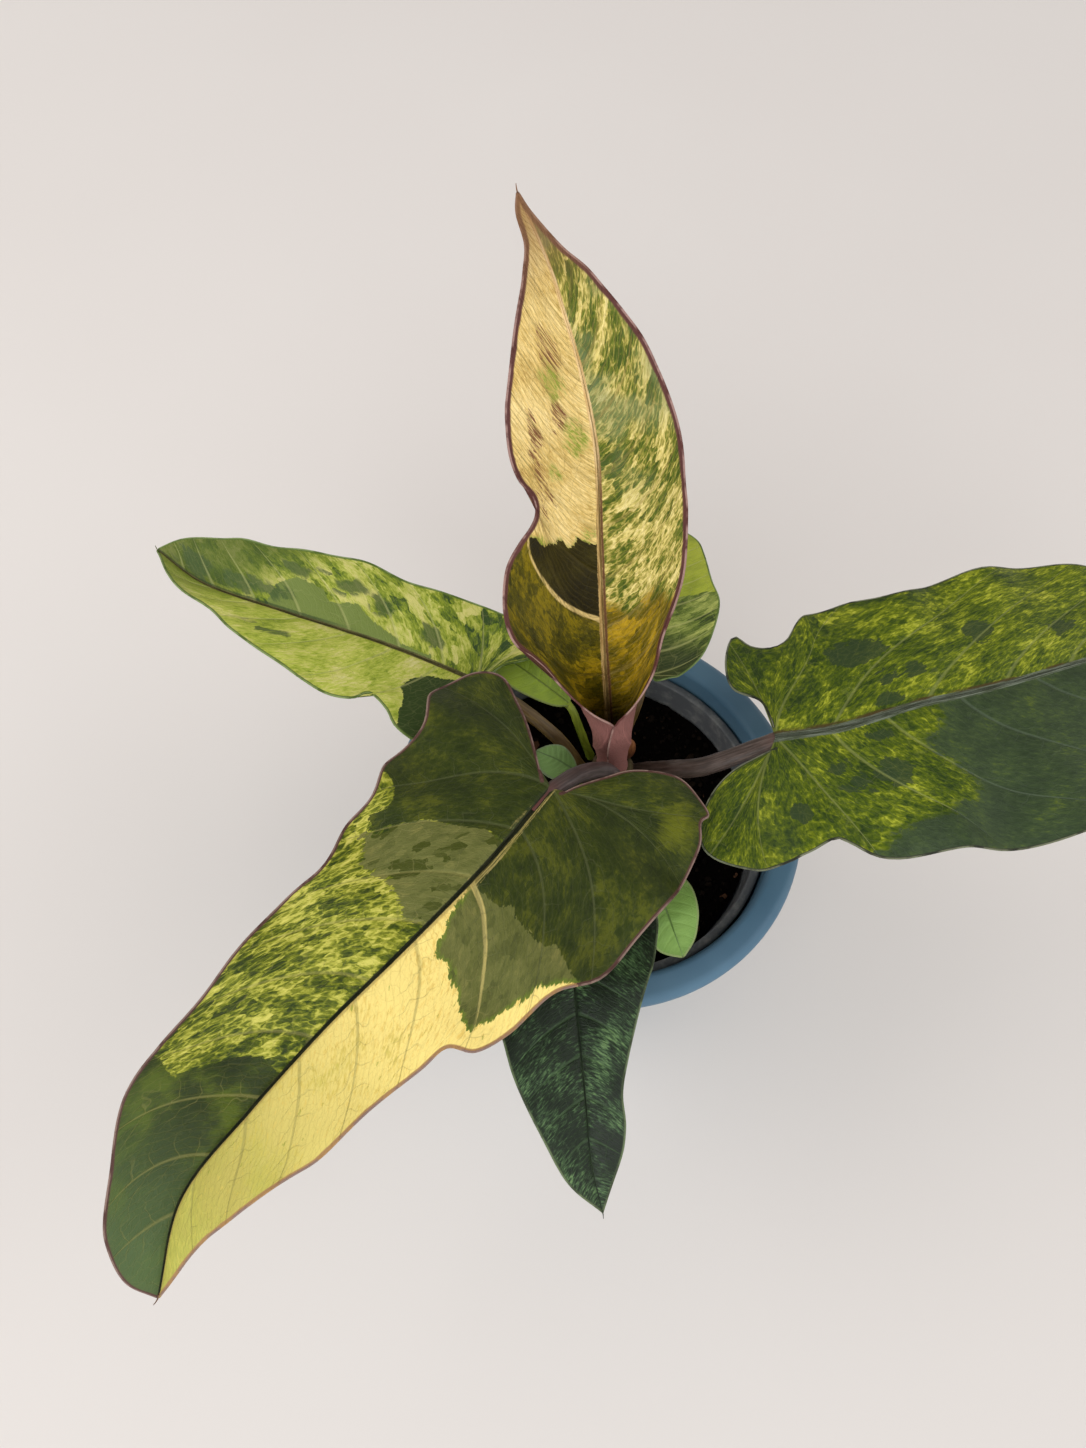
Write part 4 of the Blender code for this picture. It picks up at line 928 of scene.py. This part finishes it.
def seated(rings, direction):
    """A stalk's rings cut off at the stem's side, and then those that lie clear of the cut."""
    foot = [p + direction * stem_entry(p, direction) for p in rings[0]]
    clear = [min(np.dot(q - p, direction) for p, q in zip(foot, ring)) > GAP for ring in rings]
    first = clear.index(True)
    return [foot] + rings[first:], first


def stalk_course(name):
    """The path, directions, side directions and radii of a stalk, from its seat to the blade."""
    spec, leaf = STALKS[name], Leaf(LEAVES[name])
    foot_radius, end_radius = spec["radii"]
    base, ahead, _, up = (v[0] for v in leaf.frame(np.zeros(1)))
    end = base - up * STALK_DROP * end_radius
    path = smooth_curve(spec["route"] + [tuple(end)], 14)
    heading = np.gradient(path, axis=0)
    heading[-1] = ahead
    heading /= np.linalg.norm(heading, axis=1)[:, None]
    if spec["seat"] == "stem_top":
        heading[0] = (0, 0, 1)
    radii = np.interp(np.linspace(0, 1, len(path)), [0, SHEATH_SHARE, 1],
                      [foot_radius, end_radius * SHEATH_SWELL, end_radius])
    side = np.cross(ahead, up)
    sides = np.empty_like(path)
    for k in range(len(path) - 1, -1, -1):
        side = side - heading[k] * np.dot(side, heading[k])
        side /= np.linalg.norm(side)
        sides[k] = side
    return path, heading, sides, radii


def make_stalk(name, finish):
    """A stalk: a tapered rod with a groove on top that runs on under the blade as its keel."""
    path, heading, sides, radii = stalk_course(name)
    keel = max(4.0, 3.5 * STALKS[name]["radii"][1])
    leaf = Leaf(LEAVES[name])
    for step in np.linspace(0, 1, 7)[1:]:
        at, ahead, _, up = (v[0] for v in leaf.frame(np.array([step * keel])))
        radius = STALKS[name]["radii"][1] * (1 - 0.6 * step)
        path = np.vstack([path, at - up * (BLADE * 0.6 + STALK_DROP * radius)])
        heading = np.vstack([heading, ahead])
        sides = np.vstack([sides, np.cross(ahead, up)])
        radii = np.append(radii, radius)
    rings = []
    run = run_of(path)
    for centre, direction, side, radius in zip(path, heading, sides, radii):
        top = np.cross(side, direction)
        ring = []
        for k in range(STALK_SIDES):
            turn = 2 * math.pi * k / STALK_SIDES
            dip = 1 - STALK_GROOVE * max(0.0, math.cos(turn)) ** 6 + 0.012 * math.cos(9 * turn)
            ring.append(centre + radius * dip * (top * math.cos(turn) + side * math.sin(turn)))
        rings.append(ring)
    foot = path[0]
    if STALKS[name]["seat"] == "stem_side":
        rings, first = seated(rings, heading[0])
        run, radii = np.append(run[0], run[first:]), np.append(radii[0], radii[first:])
        foot = foot + heading[0] * stem_entry(foot, heading[0])
    points = np.array([p for ring in rings for p in ring] + [foot])
    points += STALK_LUMPS * np.stack([lumps(points, 3.5, s) for s in (1.0, 5.0, 8.0)], 1)
    faces = [((k + 1) % STALK_SIDES, k, len(points) - 1) for k in range(STALK_SIDES)]
    faces += ring_faces(len(rings), STALK_SIDES)
    last = (len(rings) - 1) * STALK_SIDES
    faces.append(tuple(range(last, last + STALK_SIDES)))
    turns = np.tile(np.arange(STALK_SIDES) / STALK_SIDES, len(rings)) * 2 * np.pi
    ring_run = np.append(np.repeat(run, STALK_SIDES), 0)
    ring_radius = np.append(np.repeat(radii, STALK_SIDES), 0)
    turns = np.append(turns, 0)
    stalk = np.stack([ring_radius * np.cos(turns), ring_radius * np.sin(turns), ring_run], 1)
    extras = {"stalk": stalk, "share": ring_run / run[-1]}
    mesh_piece("petiole_" + name, points, faces, finish, "stalk_" + name, extras)


def stalk_paint(name, tones, tip_tone):
    """Streaked stalk skin: three tones along its fibres, and another tone next to the blade."""
    p = Paint(name, 0.42, 0.35)
    where = p.vector("stalk")
    fibres = p.clouds(where, (0.55, 0.55, 9), 4, 0.6)
    mottle = p.clouds(where, (2.2, 2.2, 7), 3)
    tone = p.math("ADD", p.times(fibres, 0.55), p.times(mottle, 0.45))
    colour = p.ramp(tone, ((0.36, tones[0]), (0.50, tones[1]), (0.64, tones[2])))
    colour = p.mix(p.fade(p.value("share"), 0.80, 0.97), colour, tip_tone)
    return p.finish(colour, p.times(fibres, 0.12))


def leaf_nodes(p, rib_width, rib_reach=180.0, cell=1.0):
    """What every blade's colours need: its coordinates, the masks of its veins and its tones."""
    flat, grain = p.vector("flat"), p.vector("grain")
    x, y, _ = p.split(flat)
    _, out, _ = p.split(grain)
    phase, gap, share = p.split(p.vector("vein"))
    beside = p.times(p.from_whole(phase), gap)
    width = p.spread(share, 0.0, 1.0, 0.75, 0.18)
    main = p.less(p.fade(beside, p.times(width, 0.25), width))
    drift = p.clouds(flat, 9, 2)

    def lines(place, spacing, width):
        apart = p.times(p.from_whole(place), spacing)
        return p.less(p.fade(apart, 0.3 * width, width))

    fine = lines(p.total([(phase, 7.0), (drift, 2.4)]), p.times(gap, 1 / 7), 0.2)
    branch = lines(p.total([(out, 1 / 6.5), (beside, -0.1), (drift, 2.0), (phase, 0.3)]), 6.5, 0.3)
    branch = p.times(branch, p.less(p.fade(beside, 1.5, 7.0)))
    net = p.less(p.fade(p.cells(grain, (1.7, 2.6, 1.7)), 0.0, 0.10))
    shake = p.node("TexNoise", {"Vector": p.scaled(grain, (1.8, 2.8, 1.8)), "Scale": 1.0, "Detail": 3.0}, 1)
    bent = p.node("VectorMath", {0: shake, 1: (3.0, 3.0, 0.0), 2: grain}, operation="MULTIPLY_ADD")

    def patches(sizes, spread):
        spot = p.cells(bent, [cell * s for s in sizes], "F1", 2)
        return p.node("TexNoise", {"Vector": spot, "Scale": spread, "Detail": 1.5})

    away = p.math("DIVIDE", y, p.spread(x, 0.0, rib_reach, rib_width, 0.3 * rib_width))
    return dict(flat=flat, grain=grain, x=x, y=y, main=main, branch=branch, fine=fine, net=net, away=away,
                threads=p.less(p.fade(p.cells(bent, (2.0, 3.4, 1.7)), 0.0, 0.22)),
                coarse=patches((2.0, 3.6, 1.0), 0.42), small=patches((0.7, 1.3, 1.0), 0.28),
                fleck=p.clouds(grain, (0.9, 2.3, 2.0), 5, 0.62, 0.4), cloud=p.clouds(flat, 15, 2),
                margin=p.value("margin"), under=p.value("under"))


def tone(p, n, start=0.5, **weights):
    """A mix of a blade's tones about the start value, each with its own contrast."""
    return p.total([(n[key], weight) for key, weight in weights.items()], start - 0.5 * sum(weights.values()))


def marble(p, n, stops, lift=None, **weights):
    """Marbling in angular patches along the veins, with flecks in them: its colours by tone."""
    value = tone(p, n, **(weights or MARBLING))
    if lift is not None:
        value = p.math("ADD", value, lift)
    return p.ramp(value, stops)


def beside_rib(p, n, side):
    """The mask of the half on one side of the midrib."""
    return p.fade(p.times(n["y"], side), -0.1, 0.25)


def zone(p, n, name, jag=2.0, soft=0.12, side=0):
    """The mask of a colour zone, whose border is ragged along the veins."""
    ragged = tone(p, n, 0.0, coarse=3.0 * jag, fleck=2.4 * jag)
    mask = p.fade(p.math("ADD", p.value("zone_" + name), ragged), -soft, soft)
    return p.times(mask, beside_rib(p, n, side)) if side else mask


def border(p, n, name, reach):
    """The mask of a zone on the left half with a soft border that reaches out of it."""
    ragged = tone(p, n, 0.0, coarse=4, fleck=3)
    return p.times(p.fade(p.math("ADD", p.value("zone_" + name), ragged), reach, 0), beside_rib(p, n, -1))


def blotches(p, n, name, soft=0.2):
    """The mask of angular blotches along the veins."""
    return p.fade(p.math("ADD", p.value("zone_" + name), tone(p, n, 0.0, coarse=9.0, small=4.0)), -soft, soft)


def stripe(p, n, low, high, soft=0.15):
    """The mask of a stripe along the midrib, whose edges at the midrib's own edges would be -1 and 1."""
    wobble = tone(p, n, 0.0, fleck=0.6)
    place = p.math("ADD", n["away"], wobble)
    return p.times(p.fade(place, low - soft, low + soft), p.less(p.fade(place, high - soft, high + soft)))


def tint(p, n, colour, veins, rim, edge_highlight, rib, main=0.5, branch=0.25, fine=0.08, net=0.08, rim_width=0.7):
    """Lays vein, midrib and margin colours over a blade's colour, and a thin pale line of painted highlight
    along the very edge; the rib has a dark and a light tone.
    """
    for key, strength in (("net", net), ("fine", fine), ("branch", branch), ("main", main)):
        colour = p.mix(p.times(n[key], strength), colour, veins)
    fibres = p.fade(p.clouds(n["flat"], (9, 0.3, 1), 3), 0.42, 0.62)
    colour = p.mix(stripe(p, n, -1, 1), colour, p.mix(fibres, *rib))
    wander = p.times(p.clouds(n["flat"], 5, 2), 0.7 * rim_width)
    reach = p.math("ADD", wander, 0.65 * rim_width)
    colour = p.mix(p.less(p.fade(n["margin"], p.times(reach, 0.6), reach)), colour, rim)
    # A thin pale line of painted highlight along the very edge, broken into patches.
    patchy = p.fade(p.clouds(n["flat"], 7, 3), 0.38, 0.55)
    return p.mix(p.times(patchy, p.less(p.fade(n["margin"], 0.08, 0.3))), colour, edge_highlight)


def relief(p, n, depth=1.0):
    """The fine relief of a blade: sunk veins, a raised net and small cells."""
    grit = p.clouds(n["grain"], (0.55, 0.8, 0.7), 3, 0.6)
    return p.total([(grit, 0.13 * depth), (n["net"], 0.05 * depth), (n["fine"], -0.05 * depth),
                    (n["branch"], -0.07 * depth), (n["main"], -0.12 * depth)])


def blade_finish(p, n, colour, below, depth=1.0):
    """Gives the lower face its own colour and finishes the blade's material."""
    veined = p.mix(p.times(n["main"], 0.5), below, tuple(min(1.0, 1.5 * c) for c in below))
    rough = p.spread(n["fleck"], 0.3, 0.7, 0.40, 0.50)
    return p.finish(p.mix(p.fade(n["under"], 0.45, 0.55), colour, veined), relief(p, n, depth), rough)


def front_paint():
    p = Paint("leaf_front", 0.42, 0.14)
    n = leaf_nodes(p, 0.8)
    lift = p.spread(n["x"], 60, 110, -0.03, -0.065)
    mottled = marble(p, n, ((0.30, (0.022, 0.036, 0.003)), (0.41, (0.060, 0.082, 0.004)),
                            (0.49, (0.13, 0.15, 0.008)), (0.56, (0.25, 0.26, 0.022)),
                            (0.64, (0.43, 0.41, 0.060)), (0.76, (0.58, 0.53, 0.11))),
                     p.total([(n["threads"], 0.13)], lift))
    lobes = marble(p, n, ((0.30, (0.016, 0.024, 0.003)), (0.46, (0.026, 0.037, 0.004)),
                          (0.56, (0.038, 0.049, 0.005)), (0.68, (0.075, 0.084, 0.007))),
                   p.times(n["threads"], 0.04), cloud=0.7, coarse=0.4, fleck=0.5, small=0.3)
    lobes = p.mix(p.times(zone(p, n, "glow", 3.0, 4.0), 0.8), lobes, (0.13, 0.14, 0.008))
    grey = marble(p, n, ((0.30, (0.070, 0.078, 0.018)), (0.45, (0.105, 0.112, 0.026)),
                         (0.60, (0.135, 0.138, 0.036)), (0.72, (0.18, 0.17, 0.045))))
    patch = p.mix(p.fade(n["coarse"], 0.41, 0.44), (0.050, 0.060, 0.006), grey)
    tip = marble(p, n, ((0.32, (0.013, 0.021, 0.002)), (0.50, (0.022, 0.034, 0.003)),
                        (0.68, (0.065, 0.090, 0.005))), cloud=1.0, fleck=0.3, small=0.2)
    # Painted sheen: a bluish pale green laid over the tip's dark marbling, stronger towards the end of the
    # tip.
    far = p.fade(n["x"], 125, 175)
    tip = p.mix(p.times(far, 0.8), tip, (0.085, 0.13, 0.045))
    cream = p.mix(p.fade(n["x"], 55, 165), (0.90, 0.70, 0.22), (0.42, 0.37, 0.075))
    warm = p.times(p.fade(tone(p, n, fleck=1.0, cloud=0.5), 0.50, 0.66), 0.8)
    cream = p.mix(warm, cream, (0.74, 0.50, 0.12))
    cool = p.fade(p.total([(n["x"], 0.0018), (n["cloud"], 0.6), (n["fleck"], 0.5)]), 0.72, 0.94)
    cream = p.mix(p.times(cool, 0.7), cream, (0.42, 0.43, 0.075))
    specks = p.fade(tone(p, n, small=0.7, fleck=0.6), 0.67, 0.70)
    cream = p.mix(p.times(specks, 0.6), cream, (0.22, 0.27, 0.03))
    colour = p.mix(zone(p, n, "patch", 2.6, side=1), mottled, patch)
    in_lobe, in_cream = zone(p, n, "lobe", 1.2), zone(p, n, "cream", 1.4, side=-1)
    colour = p.mix(in_lobe, colour, lobes)
    colour = p.mix(zone(p, n, "tip", 1.2, side=1), colour, tip)
    fringe = border(p, n, "cream", -1.6)
    colour = p.mix(zone(p, n, "grey", 1.0, side=-1), colour, grey)
    colour = p.mix(p.times(fringe, 0.7), colour, (0.13, 0.20, 0.015))
    colour = p.mix(in_cream, colour, cream)
    colour = p.mix(zone(p, n, "vein", 0.1, 0.25), colour, (0.50, 0.40, 0.13))
    rim = p.mix(in_cream, (0.085, 0.038, 0.030), (0.36, 0.20, 0.08))
    veins = p.mix(in_lobe, (0.24, 0.22, 0.065), (0.095, 0.105, 0.040))
    # The colour after the rim is the thin line of painted highlight along the edge.
    colour = tint(p, n, colour, veins, rim, (0.24, 0.155, 0.125),
                  ((0.014, 0.018, 0.007), (0.040, 0.042, 0.016)), 0.42, 0.24, 0.08, 0.06, 0.8)
    # A tan band of painted shade beside the midrib on the cream half.
    painted_rib_shade = p.times(p.fade(n["x"], 25, 45), stripe(p, n, -2.6, -0.9, 0.5))
    colour = p.mix(p.times(painted_rib_shade, 0.6), colour, (0.42, 0.30, 0.09))
    fibres = p.fade(p.clouds(n["flat"], (8, 0.35, 1), 3), 0.38, 0.56)
    stripes = p.math("MAXIMUM", zone(p, n, "stripe", 0.3), p.times(zone(p, n, "stripe_left", 0.3), 0.5))
    colour = p.mix(p.times(stripes, fibres, 0.85), colour, (0.40, 0.31, 0.10))
    return blade_finish(p, n, colour, (0.10, 0.13, 0.045))


def top_paint():
    p = Paint("leaf_top", 0.42, 0.14)
    n = leaf_nodes(p, 1.5, 170.0, 1.3)
    cream = marble(p, n, ((0.28, (0.40, 0.22, 0.06)), (0.40, (0.66, 0.44, 0.13)), (0.50, (0.82, 0.58, 0.21)),
                          (0.64, (0.92, 0.69, 0.30))), small=0.2, fleck=0.7, cloud=0.5)
    cream = p.mix(p.times(p.fade(p.clouds(n["grain"], (0.35, 9, 3), 3), 0.52, 0.62), 0.55), cream,
                  (0.36, 0.23, 0.05))
    threads = p.fade(p.clouds(n["grain"], (0.5, 7, 3), 2), 0.44, 0.54)
    cream = p.mix(p.times(zone(p, n, "brown", 2.0, 0.5), threads), cream, (0.20, 0.075, 0.032))
    cream = p.mix(p.times(zone(p, n, "green", 1.8, 1.2), p.fade(n["fleck"], 0.35, 0.6)), cream,
                  (0.26, 0.30, 0.035))
    green = marble(p, n, ((0.30, (0.050, 0.080, 0.006)), (0.42, (0.13, 0.155, 0.012)),
                          (0.49, (0.33, 0.28, 0.050)), (0.58, (0.66, 0.52, 0.15)),
                          (0.72, (0.86, 0.70, 0.28))),
                   p.total([(n["threads"], 0.12), (p.fade(n["x"], 100, 135), -0.02)], -0.065))
    grey = p.fade(n["cloud"], 0.42, 0.60)
    green = p.mix(p.times(grey, p.fade(n["x"], 90, 130), 0.6), green, (0.17, 0.21, 0.085))
    gold = marble(p, n, ((0.32, (0.06, 0.050, 0.002)), (0.48, (0.17, 0.115, 0.003)),
                         (0.60, (0.34, 0.21, 0.006)), (0.72, (0.50, 0.30, 0.012))))
    dark = marble(p, n, ((0.35, (0.013, 0.009, 0.001)), (0.55, (0.026, 0.019, 0.001)),
                         (0.72, (0.055, 0.042, 0.003))), cloud=0.8, fleck=0.4, small=0.2)
    below = marble(p, n, ((0.34, (0.034, 0.030, 0.001)), (0.50, (0.075, 0.060, 0.001)),
                          (0.66, (0.19, 0.135, 0.002))), p.total([(n["threads"], 0.08)], -0.03))
    colour = p.mix(p.fade(n["y"], -0.3, 0.3), cream, green)
    colour = p.mix(zone(p, n, "gold", 3.0, 2.5, 1), colour, gold)
    colour = p.mix(p.times(border(p, n, "dark", -1.4), 0.6), colour, (0.20, 0.23, 0.02))
    shade = zone(p, n, "dark", 1.0, side=-1)
    colour = p.mix(shade, colour, dark)
    colour = p.mix(zone(p, n, "below", 0.3, side=-1), colour, below)
    low = p.less(p.fade(n["x"], 38, 58))
    colour = p.mix(p.times(low, 0.75), colour, gold)
    colour = p.mix(zone(p, n, "vein", 0.1, 0.25), colour, (0.66, 0.46, 0.17))
    veins = p.mix(shade, (0.34, 0.24, 0.07), (0.075, 0.055, 0.012))
    upper = p.fade(n["x"], 95, 125)
    # The colour after the rim is the thin line of painted highlight along the edge.
    colour = tint(p, n, colour, veins, (0.105, 0.036, 0.030), (0.34, 0.20, 0.17),
                  (p.mix(upper, (0.30, 0.17, 0.05), (0.62, 0.38, 0.14)),
                   p.mix(upper, (0.55, 0.36, 0.13), (0.85, 0.62, 0.32))), 0.30, 0.14, 0.26, 0.07, 1.3)
    line = p.times(stripe(p, n, 0.35, 1.0, 0.25), p.less(p.times(upper, 0.8)))
    colour = p.mix(line, colour, (0.12, 0.048, 0.018))
    colour = p.mix(p.times(p.fade(n["x"], 150, 178), 0.75), colour, (0.22, 0.11, 0.045))
    return blade_finish(p, n, colour, (0.25, 0.105, 0.090), 1.4)


def right_paint():
    p = Paint("leaf_right", 0.42, 0.14)
    n = leaf_nodes(p, 1.6)
    lift = p.times(p.fade(n["x"], 20, 70), p.less(p.fade(n["y"], -8, 12)), 0.06)
    lift = p.total([(n["threads"], 0.09)], p.math("SUBTRACT", lift, 0.045))
    base = marble(p, n, ((0.30, (0.018, 0.036, 0.004)), (0.42, (0.040, 0.066, 0.003)),
                         (0.52, (0.075, 0.105, 0.003)), (0.62, (0.145, 0.175, 0.006)),
                         (0.74, (0.32, 0.34, 0.022)), (0.86, (0.48, 0.46, 0.07))), lift,
                  coarse=0.55, small=0.4, fleck=0.7, cloud=0.35)
    dark = marble(p, n, ((0.32, (0.022, 0.036, 0.014)), (0.50, (0.033, 0.052, 0.019)),
                         (0.62, (0.046, 0.070, 0.022)), (0.76, (0.090, 0.12, 0.015))),
                  p.times(n["threads"], 0.03), cloud=0.6, fleck=0.7, small=0.3)
    shade = zone(p, n, "dark", 3.6, 1.0, 1)
    colour = p.mix(shade, base, dark)
    colour = p.mix(p.times(blotches(p, n, "blotch"), 0.9), colour, (0.024, 0.042, 0.014))
    veins = p.mix(shade, (0.20, 0.22, 0.060), (0.080, 0.105, 0.065))
    # The colour after the rim is the thin line of painted highlight along the edge.
    colour = tint(p, n, colour, veins, (0.022, 0.024, 0.014), (0.16, 0.17, 0.10),
                  ((0.055, 0.066, 0.036), (0.15, 0.17, 0.125)), 0.55, 0.16, 0.07, 0.06, 0.5)
    patchy = p.fade(p.clouds(n["flat"], (11, 2, 1), 3), 0.42, 0.56)
    colour = p.mix(p.times(stripe(p, n, -1.5, -0.75, 0.3), patchy, 0.9), colour, (0.060, 0.036, 0.010))
    return blade_finish(p, n, colour, (0.09, 0.125, 0.045))


def left_paint():
    p = Paint("leaf_left", 0.45, 0.16)
    n = leaf_nodes(p, 0.9, 135.0, 1.35)
    base = marble(p, n, ((0.30, (0.030, 0.060, 0.012)), (0.39, (0.11, 0.16, 0.012)),
                         (0.47, (0.22, 0.27, 0.02)), (0.55, (0.40, 0.42, 0.07)),
                         (0.66, (0.56, 0.52, 0.16))))
    pale = marble(p, n, ((0.28, (0.16, 0.22, 0.018)), (0.40, (0.30, 0.36, 0.035)),
                         (0.52, (0.44, 0.47, 0.075)), (0.64, (0.56, 0.53, 0.15)),
                         (0.76, (0.64, 0.60, 0.25))),
                  coarse=0.5, small=0.25, fleck=0.7, cloud=0.4)
    near_tip = p.fade(p.total([(n["x"], 1.0), (n["y"], 1.2)]), 78, 110)
    base = p.mix(p.times(near_tip, 0.8), base, (0.055, 0.090, 0.008))
    pale = p.mix(p.times(near_tip, 0.65), pale, (0.12, 0.17, 0.014))
    colour = p.mix(zone(p, n, "lower", 0.2, side=-1), base, pale)
    colour = p.mix(zone(p, n, "wedge", 0.9, side=1), colour, (0.15, 0.195, 0.042))
    colour = p.mix(p.times(blotches(p, n, "blotch", 0.7), 0.85), colour, (0.046, 0.082, 0.020))
    colour = p.mix(zone(p, n, "lobe", 0.9), colour, (0.030, 0.052, 0.009))
    # The colour after the rim is the thin line of painted highlight along the edge.
    colour = tint(p, n, colour, (0.42, 0.42, 0.16), (0.085, 0.13, 0.022), (0.20, 0.26, 0.09),
                  ((0.075, 0.070, 0.020), (0.15, 0.125, 0.040)), 0.4, 0.12, 0.05, 0.05, 0.6)
    colour = p.mix(p.times(stripe(p, n, 0.9, 2.3, 0.4), p.fade(n["x"], 40, 60), 0.7), colour,
                   (0.035, 0.055, 0.020))
    return blade_finish(p, n, colour, (0.13, 0.19, 0.065))


def back_paint():
    p = Paint("leaf_back", 0.45, 0.2)
    n = leaf_nodes(p, 0.6, 63.0, 1.35)
    base = marble(p, n, ((0.34, (0.026, 0.046, 0.006)), (0.46, (0.085, 0.125, 0.014)),
                         (0.58, (0.20, 0.245, 0.045)), (0.72, (0.38, 0.40, 0.10))))
    bright = marble(p, n, ((0.36, (0.20, 0.25, 0.018)), (0.60, (0.36, 0.40, 0.035))),
                    cloud=0.8, fleck=0.3, small=0.2)
    base = p.mix(p.times(p.less(p.fade(n["x"], 8, 20)), 0.9), base, (0.014, 0.024, 0.002))
    colour = p.mix(zone(p, n, "bright", 0.5), base, bright)
    # The colour after the rim is the thin line of painted highlight along the edge.
    colour = tint(p, n, colour, (0.40, 0.40, 0.14), (0.075, 0.12, 0.02), (0.20, 0.26, 0.09),
                  ((0.14, 0.17, 0.04), (0.22, 0.24, 0.07)), 0.4, 0.12, 0.05, 0.05, 0.5)
    return blade_finish(p, n, colour, (0.12, 0.18, 0.055))


def low_paint():
    p = Paint("leaf_low", 0.4, 0.3)
    n = leaf_nodes(p, 0.5, 91.0)
    colour = marble(p, n, ((0.36, (0.003, 0.008, 0.001)), (0.52, (0.007, 0.016, 0.003)),
                           (0.62, (0.045, 0.090, 0.032)), (0.74, (0.15, 0.25, 0.090))),
                    fleck=0.9, cloud=0.8, small=0.1)
    # The colour after the rim is the thin line of painted highlight along the edge.
    colour = tint(p, n, colour, (0.085, 0.15, 0.060), (0.040, 0.055, 0.022), (0.12, 0.16, 0.07),
                  ((0.012, 0.022, 0.008), (0.030, 0.050, 0.018)), 0.3, 0.1, 0.05, 0.05, 0.5)
    return blade_finish(p, n, colour, (0.06, 0.10, 0.045))


def plain_paint(name, tones, rim, rib, reach):
    """A juvenile leaf's colour, from a dark and a light tone."""
    p = Paint(name, 0.4, 0.4)
    n = leaf_nodes(p, 0.4, reach)
    colour = marble(p, n, ((0.34, tones[0]), (0.66, tones[1])), cloud=0.9, fleck=0.3, small=0.2)
    colour = tint(p, n, colour, tones[1], rim, rim, (tones[0], rib), 0.4, 0.15, 0.08, 0.06, 0.5)
    return blade_finish(p, n, colour, tones[0], 0.6)


def make_leaves():
    finishes = {
        "front": (front_paint(), "leaf_marbled"), "right": (right_paint(), "leaf_marbled"),
        "left": (left_paint(), "leaf_marbled"), "back": (back_paint(), "leaf_marbled"),
        "top": (top_paint(), "leaf_cream"), "low": (low_paint(), "leaf_dark"),
        "bright": (plain_paint("leaf_bright", ((0.13, 0.25, 0.034), (0.25, 0.42, 0.085)),
                               (0.28, 0.36, 0.12), (0.24, 0.36, 0.13), 31.0), "leaf_fresh"),
        "light": (plain_paint("leaf_light", ((0.15, 0.23, 0.010), (0.27, 0.38, 0.022)),
                              (0.22, 0.28, 0.06), (0.20, 0.26, 0.05), 38.0), "leaf_fresh"),
        "mint": (plain_paint("leaf_mint", ((0.13, 0.24, 0.055), (0.23, 0.40, 0.11)),
                             (0.20, 0.28, 0.13), (0.10, 0.17, 0.06), 16.0), "leaf_mint"),
    }
    for name, (finish, slot) in finishes.items():
        make_leaf(name, LEAVES[name], finish)


def make_stalks():
    skins = {key: stalk_paint("stalk_" + key, *tones) for key, tones in STALK_SKINS.items()}
    finishes = {"front": ("mauve", "stalk_mauve"), "top": ("funnel", "stalk_mauve"),
                "right": ("brown", "stalk_brown"), "left": ("olive", "stalk_brown"),
                "back": ("olive", "stalk_brown"), "low": ("olive", "stalk_brown"),
                "bright": ("green", "stalk_green"), "light": ("green", "stalk_green"),
                "mint": ("green", "stalk_green")}
    for name, (skin, slot) in finishes.items():
        make_stalk(name, skins[skin])


def make_floor():
    corners = [(x * FLOOR_HALF, y * FLOOR_HALF, 0) for x, y in ((-1, -1), (1, -1), (1, 1), (-1, 1))]
    mesh = bpy.data.meshes.new("floor")
    mesh.from_pydata(corners, [], [(0, 1, 2, 3)])
    p = Paint("floor_pale", 0.8, 0.2)
    where = p.place()
    colour = p.mix(p.clouds(where, 0.3, 2), (0.70, 0.645, 0.61), (0.74, 0.69, 0.655))
    mesh.materials.append(p.finish(colour))
    floor = bpy.data.objects.new("floor", mesh)
    bpy.context.collection.objects.link(floor)


def area_light(name, place, size, power, colour):
    lamp = bpy.data.lights.new(name, "AREA")
    lamp.shape = "DISK"
    lamp.size = size
    lamp.energy = power
    lamp.color = colour
    made = bpy.data.objects.new(name, lamp)
    bpy.context.collection.objects.link(made)
    made.location = place
    made.rotation_euler = (Vector(LIGHT_TARGET) - Vector(place)).to_track_quat("-Z", "Y").to_euler()


def make_light():
    """Soft lights from the left, front and right, in a studio that is brighter round its sides."""
    for name, settings in LIGHTS.items():
        area_light(name, *settings)
    world = bpy.data.worlds.new("studio")
    world.use_nodes = True
    w = Nodes(world.node_tree)
    _, y, z = w.split(w.node("TexCoord", {}, 0))
    side = w.mix(w.fade(y, -0.6, 0.6), (0.92, 0.97, 1.0), (1.0, 0.97, 0.95))
    strength = w.spread(w.fade(z, 0.45, 0.85), 0.0, 1.0, w.spread(y, -0.8, 0.8, 1.2, 0.65), 0.55)
    back = world.node_tree.nodes["Background"]
    w.put(back.inputs["Color"], side)
    w.put(back.inputs["Strength"], strength)
    bpy.context.scene.world = world
    bpy.context.scene.view_settings.view_transform = "Standard"


def make_camera():
    """The photo's view: 0.37 m from the middle of the pot's rim, steeply down."""
    camera = bpy.data.cameras.new("camera")
    camera.lens, camera.sensor_width, camera.clip_start = CAMERA_LENS, CAMERA_SENSOR, 0.01
    made = bpy.data.objects.new("camera", camera)
    bpy.context.collection.objects.link(made)
    turn = Matrix((CAMERA_RIGHT, CAMERA_UP, CAMERA_BACK)).transposed().to_4x4()
    made.matrix_world = Matrix.Translation(CAMERA_PLACE) @ turn
    bpy.context.scene.camera = made


make_camera()
make_light()
make_floor()
make_pot()
make_nursery_pot()
make_soil()
make_stem()
make_bud()
make_stalks()
make_leaves()
